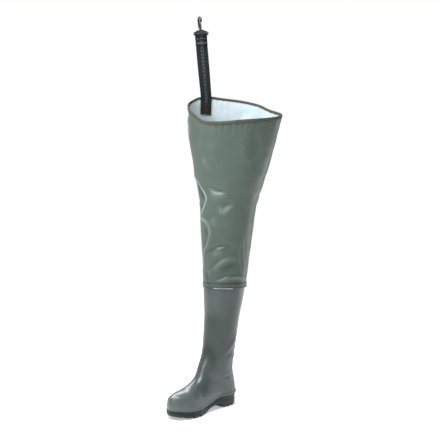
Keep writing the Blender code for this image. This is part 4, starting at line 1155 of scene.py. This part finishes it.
@dataclass
class Boot:
    """Moulded boot wall with its creases, satin skin and knitted inside."""

    folds: tuple[Fold, ...] = (
        Fold("heel_ridge", 0.0030, 0.006, 0.008, ((-34, 0.172), (-19.2, 0.183), (8.2, 0.2021), (26.3, 0.2284),
             (40, 0.248)), 0.4),
        Fold("heel_dent", -0.0028, 0.006, 0.007, ((-22, 0.164), (-10.3, 0.1694), (17.8, 0.1806),
             (46.4, 0.198), (66, 0.206)), 0.3),
        Fold("back_streak", 0.0016, 0.006, 0.006, ((27.8, 0.1653), (48, 0.1319), (38.7, 0.1076))),
        Fold("ankle_wrinkle_a", 0.0012, 0.005, 0.005, ((-24, 0.106), (-11.9, 0.1085), (49.4, 0.1125),
             (70, 0.110)), 0.2),
        Fold("ankle_wrinkle_b", 0.0010, 0.004, 0.004, ((-34, 0.094), (-23.2, 0.0919), (39.9, 0.0892),
             (62, 0.090)), 0.2),
        Fold("ankle_wrinkle_c", -0.0010, 0.005, 0.005, ((-18, 0.1), (20, 0.1005), (60, 0.101))),
        Fold("outer_wrinkle_a", -0.0018, 0.006, 0.007, ((128, 0.176), (152, 0.168), (178, 0.172),
             (-164, 0.180)), 0.2),
        Fold("outer_wrinkle_b", 0.0016, 0.007, 0.007, ((124, 0.162), (150, 0.154), (176, 0.157),
             (-160, 0.166)), 0.2),
        Fold("cap_edge", 0.0019, 0.0030, 0.0060, ((-116, 0.046), (-97.9, 0.0569), (-85.2, 0.064),
             (-78.3, 0.0592), (-66, 0.046)), 0.7, 0.2, 0.6),
        Fold("instep_soft", 0.0010, 0.012, 0.012, ((-95, 0.175), (-95, 0.150), (-93, 0.120))),
        Fold("shin_soft", -0.0010, 0.018, 0.018, ((-60, 0.360), (-56, 0.280), (-58, 0.210))),
        Fold("calf_soft", 0.0014, 0.020, 0.020, ((60, 0.360), (64, 0.300), (70, 0.240))),
    )
    axis: tuple[Row, ...] = (
        {"z": 0.0, "x": 0.0, "y": -0.040},
        {"z": 0.125, "x": 0.0010, "y": -0.0445},
        {"z": 0.165, "x": 0.0025, "y": -0.0371},
        {"z": 0.260, "x": 0.0065, "y": -0.0269},
        {"z": 0.345, "x": 0.0098, "y": -0.0180},
        {"z": 0.410, "x": 0.0120, "y": -0.0147},
    )
    wander: float = 0.0016
    girth: float = 0.42
    under_hem: tuple[float, float] = (0.365, 0.380)
    lining_from: float = 0.045
    crease_angle: float = radians(38)
    crease: float = 0.55

    def build(self, nodes: dict[str, bpy.types.Object]) -> bpy.types.Object:
        """Build the boot's wall from the frame's, finer and creased.

        Args:
            nodes: the frame's nodes.

        Returns:
            The boot.
        """
        boot = copy_node(nodes["boot_upper"], "boot_wall")
        bpy.ops.object.mode_set(mode="EDIT")
        bpy.ops.mesh.select_all(action="SELECT")
        bpy.ops.mesh.tris_convert_to_quads(face_threshold=radians(60), shape_threshold=radians(60))
        bpy.ops.object.mode_set(mode="OBJECT")
        self._keep_edges(boot.data)
        finer = boot.modifiers.new("finer", "SUBSURF")
        finer.levels = finer.render_levels = 2
        apply_all(boot)
        places, ways = corners_of(boot), normals_of(boot)
        axes = np.array([[along(self.axis, "z", name, z) for name in ("x", "y")] for z in places[:, 2]])
        out = places[:, :2] - axes
        radius = np.hypot(out[:, 0], out[:, 1])
        outside = np.sum(out * ways[:, :2], axis=1) > -0.2 * radius
        turn = np.degrees(np.arctan2(out[:, 1], out[:, 0]))
        folds, shade, _ = fold_height(self.folds, places, axes, self.wander)
        folds *= 1 - smooth(*self.under_hem, places[:, 2])
        places += ways * np.where(outside, folds, -folds)[:, None]
        set_corners(boot, places)
        # Painted highlight on crease ridges, kept for the rubber's colour.
        store(boot, "painted_fold_shading", np.where(outside, shade, 0.0))
        store_pattern(boot, np.stack([turn / 360 * self.girth, places[:, 2]], axis=1))
        dress(boot, (Finish.BOOT, Finish.BOOT_LINING), "boot_upper")
        for face in boot.data.polygons:
            inner = all(not outside[v] for v in face.vertices)
            face.material_index = 1 if inner and face.center.z > self.lining_from else 0
        boot.data.shade_smooth()
        return boot

    def _keep_edges(self, mesh: bpy.types.Mesh) -> None:
        """Crease the steps of the wall so that they stay crisp when it is made finer."""
        work = bmesh.new()
        work.from_mesh(mesh)
        layer = work.edges.layers.float.new("crease_edge")
        for edge in work.edges:
            if len(edge.link_faces) == 2 and edge.calc_face_angle() > self.crease_angle:
                edge[layer] = self.crease
        work.to_mesh(mesh)
        work.free()


@dataclass
class Sole:
    """Outsole with softened edges, and the insole above it."""

    edge: float = 0.0007
    downward: float = -0.85

    def build(self, nodes: dict[str, bpy.types.Object]) -> list[bpy.types.Object]:
        """Build the sole and the insole from the frame's.

        Args:
            nodes: the frame's nodes.

        Returns:
            The two pieces.
        """
        sole = copy_node(nodes["outsole"], "sole_block")
        soft = sole.modifiers.new("soft_edges", "BEVEL")
        soft.width, soft.segments = self.edge, 2
        soft.limit_method, soft.angle_limit = "ANGLE", radians(28)
        apply_all(sole)
        shade_by_angle(sole, 35)
        ways = np.zeros(len(sole.data.polygons) * 3, np.float32)
        sole.data.polygons.foreach_get("normal", ways)
        under = sole.data.attributes.new("under", "FLOAT", "FACE")
        under.data.foreach_set("value", (ways[2::3] < self.downward).astype(np.float32))
        pad = copy_node(nodes["insole"], "insole_felt")
        shade_by_angle(pad, 40)
        return [dress(sole, (Finish.SOLE,), "outsole"), dress(pad, (Finish.FELT,), "insole")]


@dataclass
class BeltStrap:
    """Belt webbing with its stitching: sewn inside the collar, up to the hook's bar and folded back."""

    leg: LegShape
    width: float = 0.040
    thickness: float = 0.0016
    inside: float = 0.060
    fold_back: float = 0.033
    wall_curve: float = 0.0017
    tape: float = 0.0008
    gap: float = 0.0003
    under_bar: float = 0.006
    bar: Vector = field(default_factory=lambda: Vector((-0.0645, -0.0450, 1.2098)))
    bar_radius: float = 0.0025
    bar_gap: float = 0.0004
    turn: float = radians(56.0)
    lean: float = radians(7.0)
    behind_seam: float = -0.081
    edge: float = 0.0006
    patch: tuple[float, float] = (0.004, 0.030)
    block_pitch: float = 0.0032
    loop_rows: tuple[float, ...] = (0.003, 0.0062, 0.019)
    loop_count: int = 9

    def axes(self) -> tuple[Vector, Vector, Vector]:
        """Return the hook's directions: along its bar, out to its face, and up its swivel."""
        level = Vector((cos(self.turn), sin(self.turn), 0.0))
        face = Vector((level.y, -level.x, 0.0))
        wide = level * cos(self.lean) + Vector((0.0, 0.0, sin(self.lean)))
        return wide, face, face.cross(wide)

    def _stations(self) -> list[tuple[Vector, float]]:
        """Return the strap's middle line, with how far each place follows the bar's direction."""
        on_wall = self.leg.wall + self.gap + self.wall_curve + self.thickness / 2
        on_tape = on_wall + self.tape + self.gap
        low = self.leg.near_rim(self.behind_seam, on_wall, self.inside)
        under = self.leg.near_rim(self.behind_seam, on_tape, 0.014)
        rim = self.leg.near_rim(self.behind_seam, on_tape, 0.0)
        rho = self.bar_radius + self.bar_gap + self.thickness / 2
        _, face, up = self.axes()
        below = self.bar - face * rho - up * self.under_bar
        down = (rim - below).normalized()
        line = [(low.lerp(under, s), 0.0) for s in (0.0, 0.2, 0.4, 0.6, 0.8, 1.0)]
        line += [(under.lerp(rim, 0.5), 0.0), (rim, 0.0)]
        line += [(rim.lerp(below, s), s) for s in np.linspace(0.05, 1.0, 28)]
        for k in range(13):
            angle = pi - pi * k / 12
            line.append((self.bar + face * rho * cos(angle) + up * rho * sin(angle), 1.0))
        layers = self.thickness + self.bar_gap
        ends = ((self.under_bar, rho * 1.6), (0.013, layers * 1.35), (0.022, layers), (self.fold_back, layers))
        for drop, gap in ends:
            line.append((below + down * (drop - self.under_bar) + face * gap, 1.0))
        return line

    def _side(self, share: float) -> Vector:
        """Return the direction of the strap's width."""
        across = self.leg.near_rim(self.behind_seam - 0.11, 0.0, 0.0) - self.leg.near_rim(0.0, 0.0, 0.0)
        low = atan2(across.y, across.x)
        turn = low + (self.turn - low) * min(share / 0.5, 1.0)
        lean = self.lean * share
        return Vector((cos(turn) * cos(lean), sin(turn) * cos(lean), sin(lean)))

    def _frames(self) -> list[tuple[Vector, Vector, Vector, float]]:
        """Return middle, width direction, thickness direction and run length at each station."""
        line = self._stations()
        frames, run = [], 0.0
        for k, (middle, share) in enumerate(line):
            if k:
                run += (middle - line[k - 1][0]).length
            way = (line[min(k + 1, len(line) - 1)][0] - line[max(k - 1, 0)][0]).normalized()
            side = self._side(share)
            frames.append((middle, side, side.cross(way).normalized(), run))
        return frames

    def build(self) -> list[bpy.types.Object]:
        """Build the webbing and its sewing."""
        frames = self._frames()
        half, thick = self.width / 2, self.thickness / 2
        flat = half - self.edge
        face = [(a, -thick) for a in (-flat, -half * 0.5, 0.0, half * 0.5, flat)]
        section = [*face, (half, 0.0), *[(a, thick) for a, _ in reversed(face)], (-half, 0.0)]
        points, pattern, patch = [], [], []
        for middle, side, deep, run in frames:
            for across, out in section:
                points.append(middle + side * across + deep * out)
                pattern.append((run, across))
                patch.append(float(smooth(0.001, 0.004, run) * (1 - smooth(0.030, 0.034, run))))
        columns = len(section)
        faces = tube_faces(len(frames), columns)
        last = (len(frames) - 1) * columns
        faces += [tuple(range(columns)), tuple(last + s for s in range(columns))]
        strap = new_piece("strap_webbing", points, faces)
        store_pattern(strap, np.array(pattern))
        store(strap, "patch", np.array(patch))
        shade_by_angle(strap, 50)
        return [dress(strap, (Finish.WEBBING,), "strap"), *self._sewing(frames)]

    def _place(self, frames: list[tuple[Vector, Vector, Vector, float]], run: float, across: float,
               out: float) -> Vector:
        """Return a point on the strap at a run length, a place across and a height over its middle."""
        for (m0, s0, d0, r0), (m1, s1, d1, r1) in zip(frames, frames[1:]):
            if r0 <= run <= r1:
                t = (run - r0) / (r1 - r0)
                return m0.lerp(m1, t) + s0.lerp(s1, t) * across + d0.lerp(d1, t) * out
        m0, s0, d0, _ = frames[-1]
        return m0 + s0 * across + d0 * out

    def _sewing(self, frames: list[tuple[Vector, Vector, Vector, float]]) -> list[bpy.types.Object]:
        """Build the box of stitches at the low end and the rows that close the loop at the bar."""
        block, loop = [], []
        lift = self.thickness / 2 + 0.0001
        half = self.width / 2 - 0.004
        low, high = self.patch
        corners = [(low, -half), (low, half), (high, half), (high, -half), (low, -half)]
        legs = list(zip(corners, corners[1:])) + [((low, -half), (high, half)), ((low, half), (high, -half))]
        for (r0, a0), (r1, a1) in legs:
            count = max(int(hypot(r1 - r0, a1 - a0) / self.block_pitch), 1)
            for k in range(count):
                for sign in (1.0, -1.0):
                    ends = []
                    for s in ((k + 0.12) / count, (k + 0.80) / count):
                        ends.append(self._place(frames, r0 + (r1 - r0) * s, a0 + (a1 - a0) * s, lift * sign))
                    block.append(ends)
        total = frames[-1][3]
        for back in self.loop_rows:
            for k in range(self.loop_count):
                ends = [-half + 2 * half * (k + s) / self.loop_count for s in (0.15, 0.80)]
                loop.append([self._place(frames, total - back, a, -lift) for a in ends])
        sewing = (("block_stitches", block, Finish.BLOCK_THREAD, 0.00042),
                  ("loop_stitches", loop, Finish.STRAP_THREAD, 0.00065))
        made = []
        for name, paths, thread, size in sewing:
            made.append(dress(round_cord(name, paths, size), (thread,)))
        return made


@dataclass
class SwivelHook:
    """Plastic hook and its base, each softened as one moulding."""

    grain: float = 0.00042
    fuller: float = 0.0012
    arm_start: tuple[float, float] = (1.2262, 1.2322)

    def build(self, nodes: dict[str, bpy.types.Object]) -> list[bpy.types.Object]:
        """Build both mouldings from the frame's.

        Args:
            nodes: the frame's nodes.

        Returns:
            The two pieces.
        """
        made = []
        for node, name in (("hook_base", "hook_seat"), ("hook", "hook_arm")):
            piece = copy_node(nodes[node], name)
            remesh = piece.modifiers.new("moulding", "REMESH")
            remesh.mode = "VOXEL"
            remesh.voxel_size = self.grain
            relax = piece.modifiers.new("relax", "SMOOTH")
            relax.factor, relax.iterations = 0.5, 4
            apply_all(piece)
            if node == "hook":
                places = corners_of(piece)
                grow = smooth(*self.arm_start, places[:, 2]) * self.fuller
                set_corners(piece, places + normals_of(piece) * grow[:, None])
            piece.data.shade_smooth()
            made.append(dress(piece, (Finish.PLASTIC,), node, node))
        return made


@dataclass(frozen=True)
class Lamp:
    """Soft oblong light, placed from the wader's middle towards the camera, to its right and up."""

    name: str
    towards: float
    right: float
    up: float
    aim_up: float
    size: tuple[float, float]
    power: float


@dataclass
class Studio:
    """Pale floor, white surroundings, soft lights and the camera."""

    distance: float = 2.015
    azimuth: float = radians(42.0)
    eye_height: float = 0.573
    aim_y: float = -0.110
    focal_px: float = 640.0
    frame_px: float = 447.0
    sensor: float = 36.0
    centre_px: tuple[float, float] = (202.3, 227.8)
    ambient: float = 0.15
    seen_shares: tuple[tuple[str, float], ...] = (("Is Glossy Ray", 0.16), ("Is Camera Ray", 0.85))
    floor_radius: float = 6.0
    floor_drop: float = 0.0004
    floor_glow: tuple[float, float] = (0.42, 1.0)
    glow_reach: tuple[float, float] = (0.5, 1.9)
    tint: Colour = (0.93, 0.98, 1.0)
    lamps: tuple[Lamp, ...] = (
        Lamp("key", 1.2, -1.5, 1.5, 0.2, (0.9, 0.9), 30.0),
        Lamp("top", 0.6, -0.4, 1.8, -0.3, (0.8, 0.8), 50.0),
        Lamp("behind", -1.6, -0.3, 0.9, -0.5, (1.8, 0.6), 34.0),
        Lamp("rim_right", -0.7, 1.5, -0.1, 0.0, (0.30, 1.4), 4.5),
        Lamp("rim_left", -0.8, -1.4, -0.1, 0.0, (0.25, 1.4), 0.8),
    )

    def build(self) -> None:
        """Build the surroundings."""
        self._world()
        self._floor()
        back = Vector((sin(self.azimuth), -cos(self.azimuth), 0.0))
        side = Vector((cos(self.azimuth), sin(self.azimuth), 0.0))
        aim = Vector((0.0, self.aim_y, self.eye_height))
        up = Vector((0.0, 0.0, 1.0))
        for lamp in self.lamps:
            place = aim + back * lamp.towards + side * lamp.right + up * lamp.up
            self._light(lamp, place, aim + up * lamp.aim_up)
        self._camera(aim + back * self.distance)

    def _camera(self, place: Vector) -> None:
        """Add the camera, level and square to the wader."""
        data = bpy.data.cameras.new("camera")
        data.sensor_width = self.sensor
        data.lens = self.focal_px / self.frame_px * self.sensor
        middle = self.frame_px / 2
        data.shift_x = (middle - self.centre_px[0]) / self.frame_px
        data.shift_y = (self.centre_px[1] - middle) / self.frame_px
        camera = bpy.data.objects.new("camera", data)
        camera.location = place
        camera.rotation_euler = (radians(90.0), 0.0, self.azimuth)
        bpy.context.scene.collection.objects.link(camera)
        bpy.context.scene.camera = camera

    def _light(self, lamp: Lamp, place: Vector, aim: Vector) -> None:
        """Add a light at a place, facing a point."""
        data = bpy.data.lights.new(lamp.name, "AREA")
        data.shape, data.energy = "RECTANGLE", lamp.power
        data.size, data.size_y = lamp.size
        data.color = self.tint
        light = bpy.data.objects.new(lamp.name, data)
        light.location = place
        light.rotation_euler = (aim - place).to_track_quat("-Z", "Y").to_euler()
        bpy.context.scene.collection.objects.link(light)

    def _world(self) -> None:
        """Make the surroundings white where they are seen, and dimmer as light on the wader."""
        world = bpy.data.worlds.new("studio")
        world.use_nodes = True
        tree = world.node_tree
        sky = tree.nodes["Background"]
        sky.inputs["Color"].default_value = (1.0, 1.0, 1.0, 1.0)
        seen = tree.nodes.new("ShaderNodeLightPath")
        value = None
        for output, share in self.seen_shares:
            scaled = tree.nodes.new("ShaderNodeMath")
            scaled.operation = "MULTIPLY_ADD"
            scaled.inputs[1].default_value = share
            scaled.inputs[2].default_value = self.ambient
            tree.links.new(seen.outputs[output], scaled.inputs[0])
            if value is not None:
                tree.links.new(value, scaled.inputs[2])
            value = scaled.outputs[0]
        tree.links.new(value, sky.inputs["Strength"])
        bpy.context.scene.world = world
        bpy.context.scene.view_settings.view_transform = "Standard"

    def _floor(self) -> None:
        """Add the pale floor."""
        bpy.ops.object.select_all(action="DESELECT")
        bpy.ops.mesh.primitive_circle_add(vertices=96, radius=self.floor_radius, fill_type="NGON",
                                          location=(0.0, 0.0, -self.floor_drop))
        floor = bpy.context.object
        floor.name = "studio_floor"
        recipe = Recipe("floor_paint")
        place = recipe.object_place()
        mottle = recipe.noise(place, 3.0)
        away = recipe.node("ShaderNodeVectorMath", {"operation": "LENGTH"}, {0: place}, 1)
        near, far = self.floor_glow
        glow = recipe.blend(away.above(*self.glow_reach), (near,) * 3, (far,) * 3)
        floor.data.materials.append(recipe.finish(Base_Color=(0.90, 0.90, 0.90), Roughness=0.85 + mottle * 0.1,
                                                  Emission_Color=glow, Emission_Strength=1.0))


def main() -> None:
    """Dress the frame and report each piece."""
    logging.basicConfig(level=logging.INFO, format="%(name)s: %(message)s")
    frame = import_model()
    nodes = frame["nodes"]
    leg = LegShape()
    Studio().build()
    shaft = Shaft(leg)
    pieces = [shaft.build(nodes), shaft.hem_glint(), *Collar(leg).build(), Boot().build(nodes), *Sole().build(nodes)]
    pieces += [*BeltStrap(leg).build(), *SwivelHook().build(nodes)]
    for piece in pieces:
        piece.data.calc_loop_triangles()
        LOG.info("%s: %d triangles", piece.name, len(piece.data.loop_triangles))


if __name__ == "__main__":
    main()
